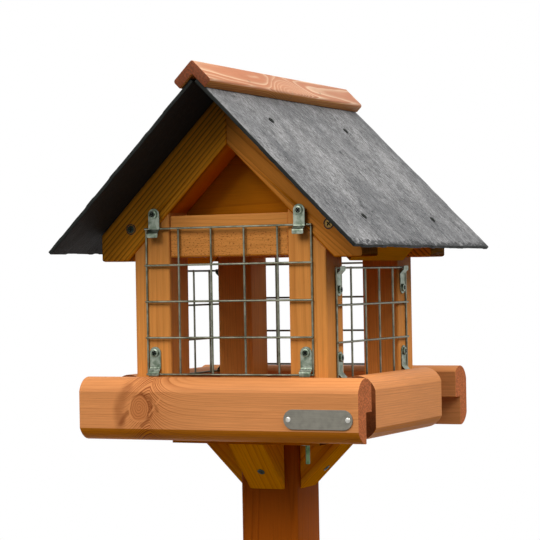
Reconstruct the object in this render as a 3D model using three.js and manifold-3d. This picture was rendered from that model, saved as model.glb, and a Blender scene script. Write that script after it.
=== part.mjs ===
// Bird table: a slate-roofed feeding house on a railed tray, carried by a timber post on a
// crossed foot. Millimetres, +Z up. The origin is on the ground under the post's centre,
// and the side with the name plate faces -Y.
import * as THREE from 'three';
import { mergeVertices } from 'three/addons/utils/BufferGeometryUtils.js';
import Module from 'manifold-3d';

const wasm = await Module();
wasm.setup();

// Fits between pieces
const seatGap = 0.2; // timber to timber, slate to timber
const runGap = 0.3; // round a bolt, a screw or a wire
const cutPast = 5; // how far a cutting tool runs past the face that it cuts

// Timber sections
const stock = 44; // corner posts, rafters, purlins, headers and braces
const arris = 2; // easing of their long edges
const postSection = 69;
const postArris = 7;

// Tray and the head of the post
const trayTop = 1200; // ground to the tray floor's upper face
const floorThickness = 22;
const headPlateThickness = 18;
const headPlateWidth = 180;
const headBraceLeg = 54.5;
const dishMargin = 5; // middle of the floor that is clear of posts and bolts

// Tray rails: arched top, flat face, rounded underside, rebated over the floor's edge
const railThickness = 36;
const railRebate = 15;
const railUpstand = 36; // tray floor to the crown of the rail
const railCrown = 15.5; // height of the arched top
const railFace = 40; // height of the flat outer face
const railBelly = 13.5; // height of the rounded underside
const railCrownSetback = 20.6; // outer face to the crown
const frontRailLength = 334;
const sideRailLength = 197;
const frontMargin = 3.4; // house posts to the inside of the front and back rails
const sideMargin = 8; // house posts to the inside of the side rails

// House frame
const houseWidth = 232; // over the corner posts, along X
const houseDepth = 246; // over the corner posts, along Y
const wallHeight = 172; // tray floor to the rafters, at the posts' outer faces
const roofPitch = Math.PI / 4;
const rafterTail = 42; // rafters past the posts' outer faces
const rafterTailDrop = 9; // level cut under the tail, below the posts' tops
const purlinOut = 7.5; // purlin's centre outside the posts' outer faces
const purlinDrop = 5.2; // purlin below the line of the rafters
const headerHeight = 46;
const headerDrop = 4; // header's top below the rafters
const headerSetback = 2;
const gableThickness = 12;
const gableLap = 15; // gable board's lap on the back of the rafters

// Roof covering
const slateThickness = 5;
const slateWidth = 405; // along the ridge
const slateFall = 254; // down the slope
const slateBack = 4.8; // slates' middle behind the house's middle
const slateDressing = 1; // knocked-off edges of a slate
const capThickness = 11;
const capLimb = 32;
const capPast = 1; // cap longer than the slates, half of the difference
const capBack = 2.9; // cap's middle behind the house's middle
const capRound = 3;

// Welded wire guards
const meshPitch = 40;
const wireDiameter = 2.3;
const weldSink = 0.4; // how far crossing wires melt into each other
const wireEnd = 1.4; // wire past the last weld
const wireSides = 8;
const guardFloorGap = 30; // least gap between the tray floor and a guard's lowest wire
const sideGuardDrop = 7.8; // purlin's lower edge to the top wire, left and right

// Turning clips that hold the guards, each on one screw
const clipWidth = 13.6;
const clipThickness = 1.2;
const clipReach = 23.4; // screw to the wire that the lip holds
const clipLipPast = 2; // lip past that wire
const clipInset = 8.6; // screw inside the guard's edge wire
const gableClipInset = 12; // the same for the clips on the rafters
const gableClipReach = 15.7; // screw above the top wire on the rafters
const gableClipRise = 13.7; // the same screw above the rafter's lower edge
const screwHeadDiameter = 8.8;
const screwHeadHeight = 2.2;
const screwShankDiameter = 3.6;
const screwGrip = 12; // screw's length in the timber
const roundSides = 12;

// Bolts and tee nuts that hold the tray on the head plate
const boltX = 63;
const boltY = 62;
const boltDiameter = 5;
const boltHeadDiameter = 14;
const boltHeadHeight = 3.2;
const boltTail = 23; // bolt below the head plate
const teeBarrelDiameter = 7.4;
const teeBarrelLength = 9;
const teeFlangeDiameter = 17;
const teeFlangeThickness = 2;
const teeNotch = 3.4;

// Blank name plate
const plateLength = 79;
const plateHeight = 21;
const plateThickness = 1.2;
const plateFromEnd = 6.1; // plate to the front rail's end
const plateAboveArris = 2.3;
const platePinInset = 5.4;
const platePinDiameter = 6.2;
const platePinHeight = 1.4;

// Crossed foot
const bearerLength = 620;
const bearerHeight = 70;
const bearerChamfer = 22;
const footBraceLeg = 190;

// Places worked out from the sizes above
const houseHalfX = houseWidth / 2;
const houseHalfY = houseDepth / 2;
const postHalf = postSection / 2;
const headPlateTop = trayTop - floorThickness - seatGap;
const headPlateUnder = headPlateTop - headPlateThickness;
const floorHalfX = houseHalfX + sideMargin + railRebate - seatGap;
const floorHalfY = houseHalfY + frontMargin + railRebate - seatGap;
const railLower = railThickness - railRebate;
const wireRadius = wireDiameter / 2;
const uprightWireOut = runGap + wireRadius;
const crossWireOut = uprightWireOut + wireDiameter - weldSink;
const guardOut = crossWireOut + wireRadius + runGap; // timber face to clear of the wires
const shankRadius = screwShankDiameter / 2;
const slope = new THREE.Vector2(Math.cos(roofPitch), -Math.sin(roofPitch));
const normal = new THREE.Vector2(Math.sin(roofPitch), Math.cos(roofPitch));

// Height of the rafters' underside, and of planes parallel to it, at a distance from the ridge
function roofHeight(x, above = 0) {
  return trayTop + wallHeight + (houseHalfX - x) * Math.tan(roofPitch) + above / Math.cos(roofPitch);
}

// Purlins: the square section's centre and the height of its lowest edge
const purlinX = houseHalfX + purlinOut;
const purlinZ = roofHeight(purlinX, stock / 2) - purlinDrop;
const purlinFoot = purlinZ - stock / 2 * (Math.sin(roofPitch) + Math.cos(roofPitch));

// Guards: as many whole cells as bring the edge wires nearest to the posts' middles, hung
// from the roof's timbers, with as many rows as the gap above the tray floor takes
const rowsBelow = (top) => Math.floor((top - trayTop - guardFloorGap) / meshPitch);
const endColumns = Math.round((houseWidth - stock) / meshPitch);
const sideColumns = Math.round((houseDepth - stock) / meshPitch);
const endGuardHalf = endColumns * meshPitch / 2;
const sideGuardHalf = sideColumns * meshPitch / 2;
const gableClipOffset = endGuardHalf - gableClipInset;
const gableClipHeight = roofHeight(gableClipOffset) + gableClipRise;
const endGuardTop = gableClipHeight - gableClipReach;
const sideGuardTop = purlinFoot - sideGuardDrop;
const endRows = rowsBelow(endGuardTop);
const sideRows = rowsBelow(sideGuardTop);
const endGuardFoot = endGuardTop - endRows * meshPitch;
const sideGuardFoot = sideGuardTop - sideRows * meshPitch;

// The other clips' screws, shared by the clips and their pilot holes
const endClipOffset = endGuardHalf - clipInset;
const sideClipOffset = sideGuardHalf - clipInset;
const endClipHeight = endGuardFoot + clipReach;
const sideClipLow = sideGuardFoot + clipReach;
const sideClipHigh = sideGuardTop - clipReach;

// Colours and surfaces
const finishes = {
  timber: { color: 0xc27a45, roughness: 0.62, metalness: 0 },
  capTimber: { color: 0xd39a78, roughness: 0.66, metalness: 0 },
  darkTimber: { color: 0x7a4726, roughness: 0.68, metalness: 0 },
  slate: { color: 0x6d7074, roughness: 0.78, metalness: 0 },
  zinc: { color: 0x9aa095, roughness: 0.4, metalness: 0.9 },
  wire: { color: 0x8c9088, roughness: 0.42, metalness: 0.85 },
  aluminium: { color: 0xb4b6b6, roughness: 0.36, metalness: 0.9 },
};

const table = new THREE.Group();

// Adds a named mesh with a finish of its own to a parent
function addPiece(name, geometry, finish, parent = table) {
  const mesh = new THREE.Mesh(geometry, new THREE.MeshStandardMaterial(finishes[finish]));
  mesh.name = name;
  parent.add(mesh);
  return mesh;
}

// Closed geometry to solid and back
function toSolid(geometry) {
  const bare = geometry.clone();
  bare.deleteAttribute('normal');
  bare.deleteAttribute('uv');
  const merged = mergeVertices(bare);
  return new wasm.Manifold(new wasm.Mesh({
    numProp: 3,
    vertProperties: new Float32Array(merged.attributes.position.array),
    triVerts: new Uint32Array(merged.index.array),
  }));
}

function toGeometry(solid) {
  const mesh = solid.getMesh();
  const geometry = new THREE.BufferGeometry();
  geometry.setAttribute('position', new THREE.BufferAttribute(mesh.vertProperties, 3));
  geometry.setIndex(new THREE.BufferAttribute(mesh.triVerts, 1));
  geometry.computeVertexNormals();
  return geometry;
}

// Outline through corner points, each corner rounded by its own distance along the edges
function outline(points, rounds = []) {
  const shape = new THREE.Shape();
  points.forEach((point, i) => {
    const corner = new THREE.Vector2(...point);
    const before = new THREE.Vector2(...points[(i + points.length - 1) % points.length]);
    const after = new THREE.Vector2(...points[(i + 1) % points.length]);
    const round = rounds[i] ?? 0;
    const start = corner.clone().add(before.sub(corner).setLength(round));
    const end = corner.clone().add(after.sub(corner).setLength(round));
    if (i === 0) {
      shape.moveTo(start.x, start.y);
    } else {
      shape.lineTo(start.x, start.y);
    }
    if (round > 0) {
      shape.quadraticCurveTo(corner.x, corner.y, end.x, end.y);
    }
  });
  shape.closePath();
  return shape;
}

// Board of a given thickness with its outline in XY, from z = 0 up
function board(shape, thickness, ease = 0, curveSegments = 4) {
  const eased = { bevelThickness: ease, bevelSize: ease, bevelOffset: -ease, bevelSegments: 2 };
  const geometry = new THREE.ExtrudeGeometry(shape, {
    depth: thickness - 2 * ease,
    bevelEnabled: ease > 0,
    curveSegments,
    ...eased,
  });
  geometry.translate(0, 0, ease);
  return geometry;
}

// Board with its outline in XZ and its thickness along Y, centred on Y
function uprightBoard(shape, thickness, ease = 0, curveSegments = 4) {
  const geometry = board(shape, thickness, ease, curveSegments);
  geometry.translate(0, 0, -thickness / 2);
  geometry.rotateX(Math.PI / 2);
  return geometry;
}

function rectangle(halfX, halfY) {
  return outline([[-halfX, -halfY], [halfX, -halfY], [halfX, halfY], [-halfX, halfY]]);
}

// Round bar of a given length, centred, along X, Y or Z
function bar(radius, length, axis, sides) {
  const geometry = new THREE.CylinderGeometry(radius, radius, length, sides);
  if (axis === 'z') {
    geometry.rotateX(Math.PI / 2);
  }
  if (axis === 'x') {
    geometry.rotateZ(-Math.PI / 2);
  }
  return geometry;
}

// Pilot hole for a clip's screw, bored from a face along an axis; out is the face's side
function pilotHole(axis, out, place) {
  const length = screwGrip + runGap + cutPast;
  const hole = bar(shankRadius + runGap, length, axis, wireSides);
  const along = out * (cutPast - length / 2);
  hole.translate(...place);
  hole.translate(axis === 'x' ? along : 0, axis === 'y' ? along : 0, 0);
  return toSolid(hole);
}

// Crossed foot: two bearers halved together, and four struts up to the post
function bearer(notchFromTop) {
  const half = bearerLength / 2;
  const shoulder = bearerHeight - bearerChamfer;
  const notchHalf = stock / 2 + seatGap;
  const notchDepth = (bearerHeight + seatGap) / 2;
  const notchZ = notchFromTop ? bearerHeight - notchDepth : notchDepth;
  const foot = [[half, 0], [half, shoulder], [half - bearerChamfer, bearerHeight]];
  const notch = [[notchHalf, notchZ], [-notchHalf, notchZ]];
  const mirrored = foot.map(([x, z]) => [-x, z]).reverse();
  const edge = notchFromTop ? bearerHeight : 0;
  const halving = [[notchHalf, edge], ...notch, [-notchHalf, edge]];
  const points = notchFromTop
    ? [...foot, ...halving, ...mirrored]
    : [...foot, ...mirrored, ...halving.reverse()];
  return uprightBoard(outline(points), stock, arris);
}

function footBrace() {
  const inner = footBraceLeg - stock * Math.SQRT2;
  const face = postHalf + seatGap;
  const base = bearerHeight + seatGap;
  const points = [
    [face + inner, base], [face + footBraceLeg, base],
    [face, base + footBraceLeg], [face, base + inner],
  ];
  return uprightBoard(outline(points), stock, arris);
}

function addFoot() {
  addPiece('bearer_across', bearer(true), 'darkTimber');
  const turned = addPiece('bearer_fore_aft', bearer(false), 'darkTimber');
  turned.rotation.z = Math.PI / 2;
}

function addSupportPost() {
  const corners = [[-1, -1], [1, -1], [1, 1], [-1, 1]].map(([x, y]) => [x * postHalf, y * postHalf]);
  const foot = bearerHeight + seatGap;
  const shape = outline(corners, corners.map(() => postArris));
  const depth = headPlateUnder - seatGap - foot;
  const lengths = 3; // the middle one is a flat clear of all the braces
  const geometry = new THREE.ExtrudeGeometry(shape, {
    depth, steps: lengths, bevelEnabled: false, curveSegments: 4,
  });
  addPiece('support_post', geometry, 'darkTimber').position.z = foot;
}

function headBrace() {
  const face = postHalf + seatGap;
  const top = headPlateUnder - seatGap;
  const points = [[face, top - headBraceLeg], [face + headBraceLeg, top], [face, top]];
  return uprightBoard(outline(points), stock, arris);
}

// Plate or floor with two holes on one diagonal for the tray bolts
function boltedOutline(halfX, halfY, holeRadius) {
  const shape = rectangle(halfX, halfY);
  for (const side of [1, -1]) {
    const hole = new THREE.Path();
    hole.absarc(side * boltX, -side * boltY, holeRadius, 0, 2 * Math.PI, true);
    shape.holes.push(hole);
  }
  return shape;
}

// Floor sheet, with a flat of its own in the middle where a dish stands clear of posts and bolts
function floorSheet() {
  const halfX = boltX - boltHeadDiameter / 2 - dishMargin;
  const halfY = houseHalfY - stock - dishMargin;
  const dishFlat = rectangle(halfX, halfY);
  const shape = boltedOutline(floorHalfX, floorHalfY, boltDiameter / 2 + runGap);
  shape.holes.push(dishFlat);
  const around = board(shape, floorThickness, 0, roundSides / 2);
  return toGeometry(toSolid(around).add(toSolid(board(dishFlat, floorThickness))));
}

function addTray() {
  const half = headPlateWidth / 2;
  const plateShape = boltedOutline(half, half, teeBarrelDiameter / 2 + runGap);
  const plate = board(plateShape, headPlateThickness, 0, roundSides / 2);
  addPiece('head_plate', plate, 'timber').position.z = headPlateUnder;
  addPiece('tray_floor', floorSheet(), 'timber').position.z = trayTop - floorThickness;
}

function trayBolt() {
  const radius = boltDiameter / 2;
  const headRadius = boltHeadDiameter / 2;
  const profile = new THREE.Path();
  const head = trayTop + seatGap;
  profile.moveTo(0, headPlateUnder - boltTail);
  profile.lineTo(radius, headPlateUnder - boltTail);
  profile.lineTo(radius, head);
  profile.lineTo(headRadius, head);
  profile.quadraticCurveTo(headRadius, head + boltHeadHeight, 0, head + boltHeadHeight);
  const points = profile.getPoints(4);
  const geometry = new THREE.LatheGeometry(points, roundSides);
  geometry.rotateX(Math.PI / 2);
  return geometry;
}

function teeNut() {
  const bore = boltDiameter / 2 + runGap;
  const barrel = teeBarrelDiameter / 2;
  const flange = teeFlangeDiameter / 2;
  const seat = headPlateUnder - seatGap;
  const profile = [
    [bore, seat - teeFlangeThickness], [flange, seat - teeFlangeThickness], [flange, seat],
    [barrel, seat], [barrel, seat + teeBarrelLength], [bore, seat + teeBarrelLength],
    [bore, seat - teeFlangeThickness],
  ];
  const lathe = new THREE.LatheGeometry(profile.map(([r, z]) => new THREE.Vector2(r, z)), 2 * roundSides);
  lathe.rotateX(Math.PI / 2);
  let nut = toSolid(lathe);
  for (let quarter = 0; quarter < 4; quarter += 1) {
    const notch = new THREE.BoxGeometry(teeNotch, teeNotch, teeFlangeThickness + cutPast);
    notch.translate(flange, 0, seat - teeFlangeThickness / 2);
    notch.rotateZ(Math.PI / 4 + quarter * Math.PI / 2);
    nut = nut.subtract(toSolid(notch));
  }
  return toGeometry(nut);
}

function addTrayFixings() {
  for (const [end, side] of [['front', 1], ['back', -1]]) {
    const bolt = addPiece(`${end}_tray_bolt`, trayBolt(), 'zinc');
    const nut = addPiece(`${end}_tee_nut`, teeNut(), 'zinc');
    bolt.position.set(side * boltX, -side * boltY, 0);
    nut.position.set(side * boltX, -side * boltY, 0);
  }
}

// Rail with its outer face towards +X, its length along Y and the house face at x = 0
function rail(length, margin) {
  const inner = margin;
  const outer = margin + railThickness;
  const lower = outer - railLower;
  const crownZ = trayTop + railUpstand;
  const crownX = outer - railCrownSetback;
  const faceTop = crownZ - railCrown;
  const faceFoot = faceTop - railFace;
  const crownRadius = (railCrownSetback ** 2 + railCrown ** 2) / (2 * railCrown);
  const bellyRadius = (railLower ** 2 + railBelly ** 2) / (2 * railBelly);
  const innerAngle = Math.PI - Math.acos((crownX - inner) / crownRadius);
  const outerAngle = Math.acos(railCrownSetback / crownRadius);
  const bellyAngle = Math.acos(railLower / bellyRadius);
  const bellyZ = faceFoot - railBelly + bellyRadius;
  const shape = new THREE.Shape();
  shape.moveTo(lower, trayTop + seatGap);
  shape.lineTo(lower, faceFoot - railBelly);
  shape.absarc(lower, bellyZ, bellyRadius, -Math.PI / 2, -bellyAngle, false);
  shape.lineTo(outer, faceTop);
  shape.absarc(crownX, crownZ - crownRadius, crownRadius, outerAngle, innerAngle, false);
  shape.lineTo(inner, trayTop + seatGap);
  shape.closePath();
  return uprightBoard(shape, length, 0, 5);
}

// Guard facing +X with the timber face at x = 0: uprights inside, cross wires outside
function guard(columns, rows, foot) {
  const half = columns * meshPitch / 2;
  const height = rows * meshPitch;
  const wires = [];
  for (let i = 0; i <= columns; i += 1) {
    const upright = bar(wireRadius, height + 2 * wireEnd, 'z', wireSides);
    upright.translate(uprightWireOut, i * meshPitch - half, foot + height / 2);
    wires.push(toSolid(upright));
  }
  for (let i = 0; i <= rows; i += 1) {
    const cross = bar(wireRadius, 2 * (half + wireEnd), 'y', wireSides);
    cross.translate(crossWireOut, 0, foot + i * meshPitch);
    wires.push(toSolid(cross));
  }
  return toGeometry(wires.reduce((whole, wire) => whole.add(wire)));
}

// Clip on its screw, facing +X with its tail down: a flat tab, a step outwards over the
// wire and a lip. The step ends before its corners can sweep the wire as the clip turns.
function clip(tabOut) {
  const half = clipWidth / 2;
  const rise = guardOut - seatGap;
  const stepEnd = Math.sqrt((clipReach - wireRadius - runGap) ** 2 - half ** 2);
  const stepStart = stepEnd - rise;
  const tail = clipReach + clipLipPast;
  const lipOut = tabOut + rise;
  const bend = clipThickness * Math.tan(Math.PI / 8);
  const side = outline([
    [tabOut, half], [tabOut, -stepStart], [lipOut, -stepEnd], [lipOut, -tail],
    [lipOut + clipThickness, -tail], [lipOut + clipThickness, bend - stepEnd],
    [tabOut + clipThickness, bend - stepStart], [tabOut + clipThickness, half],
  ]);
  const strip = toSolid(uprightBoard(side, clipWidth));
  const face = new THREE.Shape();
  face.moveTo(-half, -tail - cutPast);
  face.lineTo(half, -tail - cutPast);
  face.lineTo(half, 0);
  face.absarc(0, 0, half, 0, Math.PI, false);
  face.closePath();
  const blank = board(face, lipOut + cutPast, 0, 5);
  blank.rotateX(Math.PI / 2);
  blank.rotateZ(Math.PI / 2);
  return strip.intersect(toSolid(blank)).add(clipScrew(tabOut));
}

// Pan-head screw through a clip's tab into the timber behind it
function clipScrew(tabOut) {
  const headRadius = screwHeadDiameter / 2;
  const under = tabOut + clipThickness / 2;
  const seat = tabOut + clipThickness;
  const profile = new THREE.Path();
  profile.moveTo(0, -screwGrip);
  profile.lineTo(shankRadius, -screwGrip);
  profile.lineTo(shankRadius, under);
  profile.lineTo(headRadius, under);
  profile.lineTo(headRadius, seat + screwHeadHeight / 2);
  profile.quadraticCurveTo(headRadius, seat + screwHeadHeight, 0, seat + screwHeadHeight);
  const lathe = new THREE.LatheGeometry(profile.getPoints(3), roundSides);
  lathe.rotateZ(-Math.PI / 2);
  return toSolid(lathe);
}

// Clips of one side, placed by their screws; up marks a clip whose tail points up
function addClips(side, places, parent, faceOut) {
  for (const { name, y, z, tabOut, up } of places) {
    const mesh = addPiece(`${side}_${name}_clip`, toGeometry(clip(tabOut)), 'zinc', parent);
    mesh.position.set(faceOut, y, z);
    mesh.rotation.x = up ? Math.PI : 0;
  }
}

const endClips = [
  { name: 'top_left', y: -gableClipOffset, z: gableClipHeight, tabOut: guardOut, up: false },
  { name: 'top_right', y: gableClipOffset, z: gableClipHeight, tabOut: guardOut, up: false },
  { name: 'bottom_left', y: -endClipOffset, z: endClipHeight, tabOut: seatGap, up: false },
  { name: 'bottom_right', y: endClipOffset, z: endClipHeight, tabOut: seatGap, up: false },
];
const sideClips = [
  { name: 'top_left', y: -sideClipOffset, z: sideClipHigh, tabOut: seatGap, up: true },
  { name: 'top_right', y: sideClipOffset, z: sideClipHigh, tabOut: seatGap, up: true },
  { name: 'bottom_left', y: -sideClipOffset, z: sideClipLow, tabOut: seatGap, up: false },
  { name: 'bottom_right', y: sideClipOffset, z: sideClipLow, tabOut: seatGap, up: false },
];

// Everything that is made facing +X and turned to its side of the table
const sides = [
  { name: 'right', turn: 0, end: false },
  { name: 'back', turn: Math.PI / 2, end: true },
  { name: 'left', turn: Math.PI, end: false },
  { name: 'front', turn: -Math.PI / 2, end: true },
];

function addSide({ name, turn, end }) {
  const group = new THREE.Group();
  group.rotation.z = turn;
  table.add(group);
  const face = end ? houseHalfY : houseHalfX;
  const length = end ? frontRailLength : sideRailLength;
  const railPiece = addPiece(`${name}_rail`, rail(length, end ? frontMargin : sideMargin), 'timber', group);
  railPiece.position.x = face;
  const wires = end
    ? guard(endColumns, endRows, endGuardFoot)
    : guard(sideColumns, sideRows, sideGuardFoot);
  addPiece(`${name}_guard`, wires, 'wire', group).position.x = face;
  addClips(name, end ? endClips : sideClips, group, face);
  addPiece(`${name}_head_brace`, headBrace(), 'timber', group);
  addPiece(`${name}_foot_brace`, footBrace(), 'darkTimber', group);
}

// Corner post under the rafters, its top cut to the roof's pitch
function cornerPost(sideX, sideY) {
  const inner = houseHalfX - stock;
  const foot = trayTop + seatGap;
  const points = [
    [inner, foot], [houseHalfX, foot],
    [houseHalfX, roofHeight(houseHalfX, -seatGap)], [inner, roofHeight(inner, -seatGap)],
  ];
  const shape = outline(points.map(([x, z]) => [sideX * x, z]));
  const geometry = uprightBoard(shape, stock, arris);
  geometry.translate(0, sideY * (houseHalfY - stock / 2), 0);
  const holes = [
    pilotHole('y', sideY, [sideX * endClipOffset, sideY * houseHalfY, endClipHeight]),
    pilotHole('x', sideX, [sideX * houseHalfX, sideY * sideClipOffset, sideClipLow]),
    pilotHole('x', sideX, [sideX * houseHalfX, sideY * sideClipOffset, sideClipHigh]),
  ];
  return toGeometry(holes.reduce((post, hole) => post.subtract(hole), toSolid(geometry)));
}

// Rafter from the plumb joint at the ridge to its tail, cut level below and plumb in front
function rafter(sideX, sideY) {
  const joint = seatGap / 2;
  const tail = houseHalfX + rafterTail;
  const level = roofHeight(houseHalfX) - rafterTailDrop;
  const levelStart = houseHalfX + rafterTailDrop / Math.tan(roofPitch);
  const points = [
    [joint, roofHeight(joint)], [levelStart, level], [tail, level],
    [tail, roofHeight(tail, stock)], [joint, roofHeight(joint, stock)],
  ];
  const shape = outline(points.map(([x, z]) => [sideX * x, z]));
  const geometry = uprightBoard(shape, stock, arris);
  geometry.translate(0, sideY * (houseHalfY - stock / 2), 0);
  const hole = pilotHole('y', sideY, [sideX * gableClipOffset, sideY * houseHalfY, gableClipHeight]);
  return toGeometry(toSolid(geometry).subtract(hole));
}

function addCorners() {
  for (const [endName, sideY] of [['front', -1], ['back', 1]]) {
    for (const [sideName, sideX] of [['left', -1], ['right', 1]]) {
      addPiece(`${endName}_${sideName}_post`, cornerPost(sideX, sideY), 'timber');
      addPiece(`${endName}_${sideName}_rafter`, rafter(sideX, sideY), 'timber');
    }
  }
}

// Header between the posts and gable board behind the rafters, at the front and the back
function addGables() {
  const headerTop = roofHeight(houseHalfX - stock) - headerDrop;
  const headerHalf = houseHalfX - stock - seatGap;
  const headerFoot = headerTop - headerHeight;
  const headerShape = outline([
    [-headerHalf, headerFoot], [headerHalf, headerFoot], [headerHalf, headerTop], [-headerHalf, headerTop],
  ]);
  const boardFoot = headerTop + seatGap;
  const boardHalf = houseHalfX - (boardFoot - roofHeight(houseHalfX, gableLap)) / Math.tan(roofPitch);
  const peak = [0, roofHeight(0, gableLap)];
  const boardShape = outline([[-boardHalf, boardFoot], [boardHalf, boardFoot], peak]);
  for (const [endName, sideY] of [['front', -1], ['back', 1]]) {
    const header = addPiece(`${endName}_header`, uprightBoard(headerShape, stock, arris), 'timber');
    header.position.y = sideY * (houseHalfY - headerSetback - stock / 2);
    const gable = addPiece(`${endName}_gable`, uprightBoard(boardShape, gableThickness), 'timber');
    gable.position.y = sideY * (houseHalfY - stock - seatGap - gableThickness / 2);
  }
}

// Purlin just under the line of the rafters, between the front pair and the back pair
function addPurlins() {
  const half = stock / 2;
  const centre = new THREE.Vector2(purlinX, purlinZ);
  const length = 2 * (houseHalfY - stock - seatGap);
  const corners = [[-1, -1], [1, -1], [1, 1], [-1, 1]].map(([along, up]) => {
    const corner = centre.clone();
    corner.addScaledVector(slope, along * half);
    corner.addScaledVector(normal, up * half);
    return corner.toArray();
  });
  for (const [sideName, sideX] of [['left', -1], ['right', 1]]) {
    const shape = outline(corners.map(([x, z]) => [sideX * x, z]));
    addPiece(`${sideName}_purlin`, uprightBoard(shape, length, arris), 'timber');
  }
}

// Square-edged slates that lie on the rafters and meet under the cap
function addSlates() {
  const low = new THREE.Vector2(seatGap, roofHeight(seatGap, stock + seatGap));
  const high = low.clone().addScaledVector(normal, slateThickness);
  const points = [
    low, low.clone().addScaledVector(slope, slateFall),
    high.clone().addScaledVector(slope, slateFall), high,
  ];
  for (const [sideName, sideX] of [['left', -1], ['right', 1]]) {
    const shape = outline(points.map(({ x, y }) => [sideX * x, y]));
    const slate = addPiece(`${sideName}_slate`, uprightBoard(shape, slateWidth, slateDressing), 'slate');
    slate.position.y = slateBack;
  }
}

// V-shaped ridge cap, one moulding
function addRidgeCap() {
  const under = stock + seatGap + slateThickness + seatGap;
  const innerApex = new THREE.Vector2(0, roofHeight(0, under));
  const outerApex = new THREE.Vector2(0, roofHeight(0, under + capThickness));
  const outerFoot = outerApex.clone().addScaledVector(slope, capLimb);
  const innerFoot = outerFoot.clone().addScaledVector(normal, -capThickness);
  const shape = outline([
    innerApex.toArray(), innerFoot.toArray(), outerFoot.toArray(), outerApex.toArray(),
    [-outerFoot.x, outerFoot.y], [-innerFoot.x, innerFoot.y],
  ], [0, 0, capRound, capRound, capRound, 0]);
  const length = slateWidth + 2 * capPast;
  const cap = addPiece('ridge_cap', uprightBoard(shape, length, slateDressing), 'capTimber');
  cap.position.y = capBack;
}

// Blank plate with round ends and two pins, near the right-hand end of the front rail
function addNamePlate() {
  const radius = plateHeight / 2;
  const straight = plateLength / 2 - radius;
  const shape = new THREE.Shape();
  shape.absarc(straight, 0, radius, -Math.PI / 2, Math.PI / 2, false);
  shape.absarc(-straight, 0, radius, Math.PI / 2, 1.5 * Math.PI, false);
  shape.closePath();
  let plate = toSolid(board(shape, plateThickness, 0, 8));
  const pinRadius = platePinDiameter / 2;
  const profile = new THREE.Path();
  profile.moveTo(0, 0);
  profile.lineTo(pinRadius, 0);
  profile.lineTo(pinRadius, plateThickness);
  profile.quadraticCurveTo(pinRadius, plateThickness + platePinHeight, 0, plateThickness + platePinHeight);
  for (const side of [-1, 1]) {
    const pin = new THREE.LatheGeometry(profile.getPoints(4), roundSides);
    pin.rotateX(Math.PI / 2);
    pin.translate(side * (plateLength / 2 - platePinInset), 0, 0);
    plate = plate.add(toSolid(pin));
  }
  const mesh = addPiece('name_plate', toGeometry(plate), 'aluminium');
  mesh.rotation.x = Math.PI / 2;
  const railFaceFoot = trayTop + railUpstand - railCrown - railFace;
  mesh.position.set(
    frontRailLength / 2 - plateFromEnd - plateLength / 2,
    -(houseHalfY + frontMargin + railThickness + seatGap),
    railFaceFoot + plateAboveArris + plateHeight / 2,
  );
}

addFoot();
addSupportPost();
addTray();
addTrayFixings();
sides.forEach(addSide);
addCorners();
addGables();
addPurlins();
addSlates();
addRidgeCap();
addNamePlate();

export default table;
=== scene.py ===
"""Bird table dressed for its studio picture: stained timber, slates, wire guards and fittings."""

from __future__ import annotations

import logging
import math
import random
from contextlib import contextmanager
from dataclasses import dataclass, field, replace
from enum import Enum
from typing import Callable, Iterator, Sequence

import bmesh
import bpy
from bpy.types import Material, Node, NodeSocket, NodeTree, Object
from mathutils import Euler, Matrix, Vector

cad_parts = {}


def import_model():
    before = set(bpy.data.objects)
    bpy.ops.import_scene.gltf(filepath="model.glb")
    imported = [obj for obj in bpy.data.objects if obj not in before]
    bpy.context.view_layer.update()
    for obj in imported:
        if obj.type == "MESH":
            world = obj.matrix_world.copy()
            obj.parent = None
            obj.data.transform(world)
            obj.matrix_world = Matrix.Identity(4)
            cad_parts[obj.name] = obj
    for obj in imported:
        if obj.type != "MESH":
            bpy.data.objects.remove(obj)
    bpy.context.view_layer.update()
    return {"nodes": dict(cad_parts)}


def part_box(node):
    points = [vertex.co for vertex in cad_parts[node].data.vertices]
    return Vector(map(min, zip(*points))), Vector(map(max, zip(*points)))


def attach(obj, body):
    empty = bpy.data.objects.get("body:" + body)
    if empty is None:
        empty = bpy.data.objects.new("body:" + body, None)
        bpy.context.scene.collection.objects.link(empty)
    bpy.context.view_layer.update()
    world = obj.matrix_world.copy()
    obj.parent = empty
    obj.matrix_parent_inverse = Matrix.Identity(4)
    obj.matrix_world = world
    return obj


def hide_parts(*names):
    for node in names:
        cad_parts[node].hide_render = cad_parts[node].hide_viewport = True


LOG = logging.getLogger("bird_table")
Triple = tuple[float, float, float]
Colour = tuple[float, float, float, float]
Picker = Callable[[Callable[..., bool]], None]
MAIN_BODY = "table"
ORIGIN: Triple = (0.0, 0.0, 0.0)
X: Triple = (1.0, 0.0, 0.0)
Y: Triple = (0.0, 1.0, 0.0)
Z: Triple = (0.0, 0.0, 1.0)
HANDS = ((1.0, "right"), (-1.0, "left"))
ENDS = ((-1.0, "front"), (1.0, "back"))
MERGE = 0.00001
TOUCH = 0.0001
FACING = 0.9
DIAGONAL = math.pi / 4
WHITE: Colour = (1.0, 1.0, 1.0, 1.0)


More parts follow.
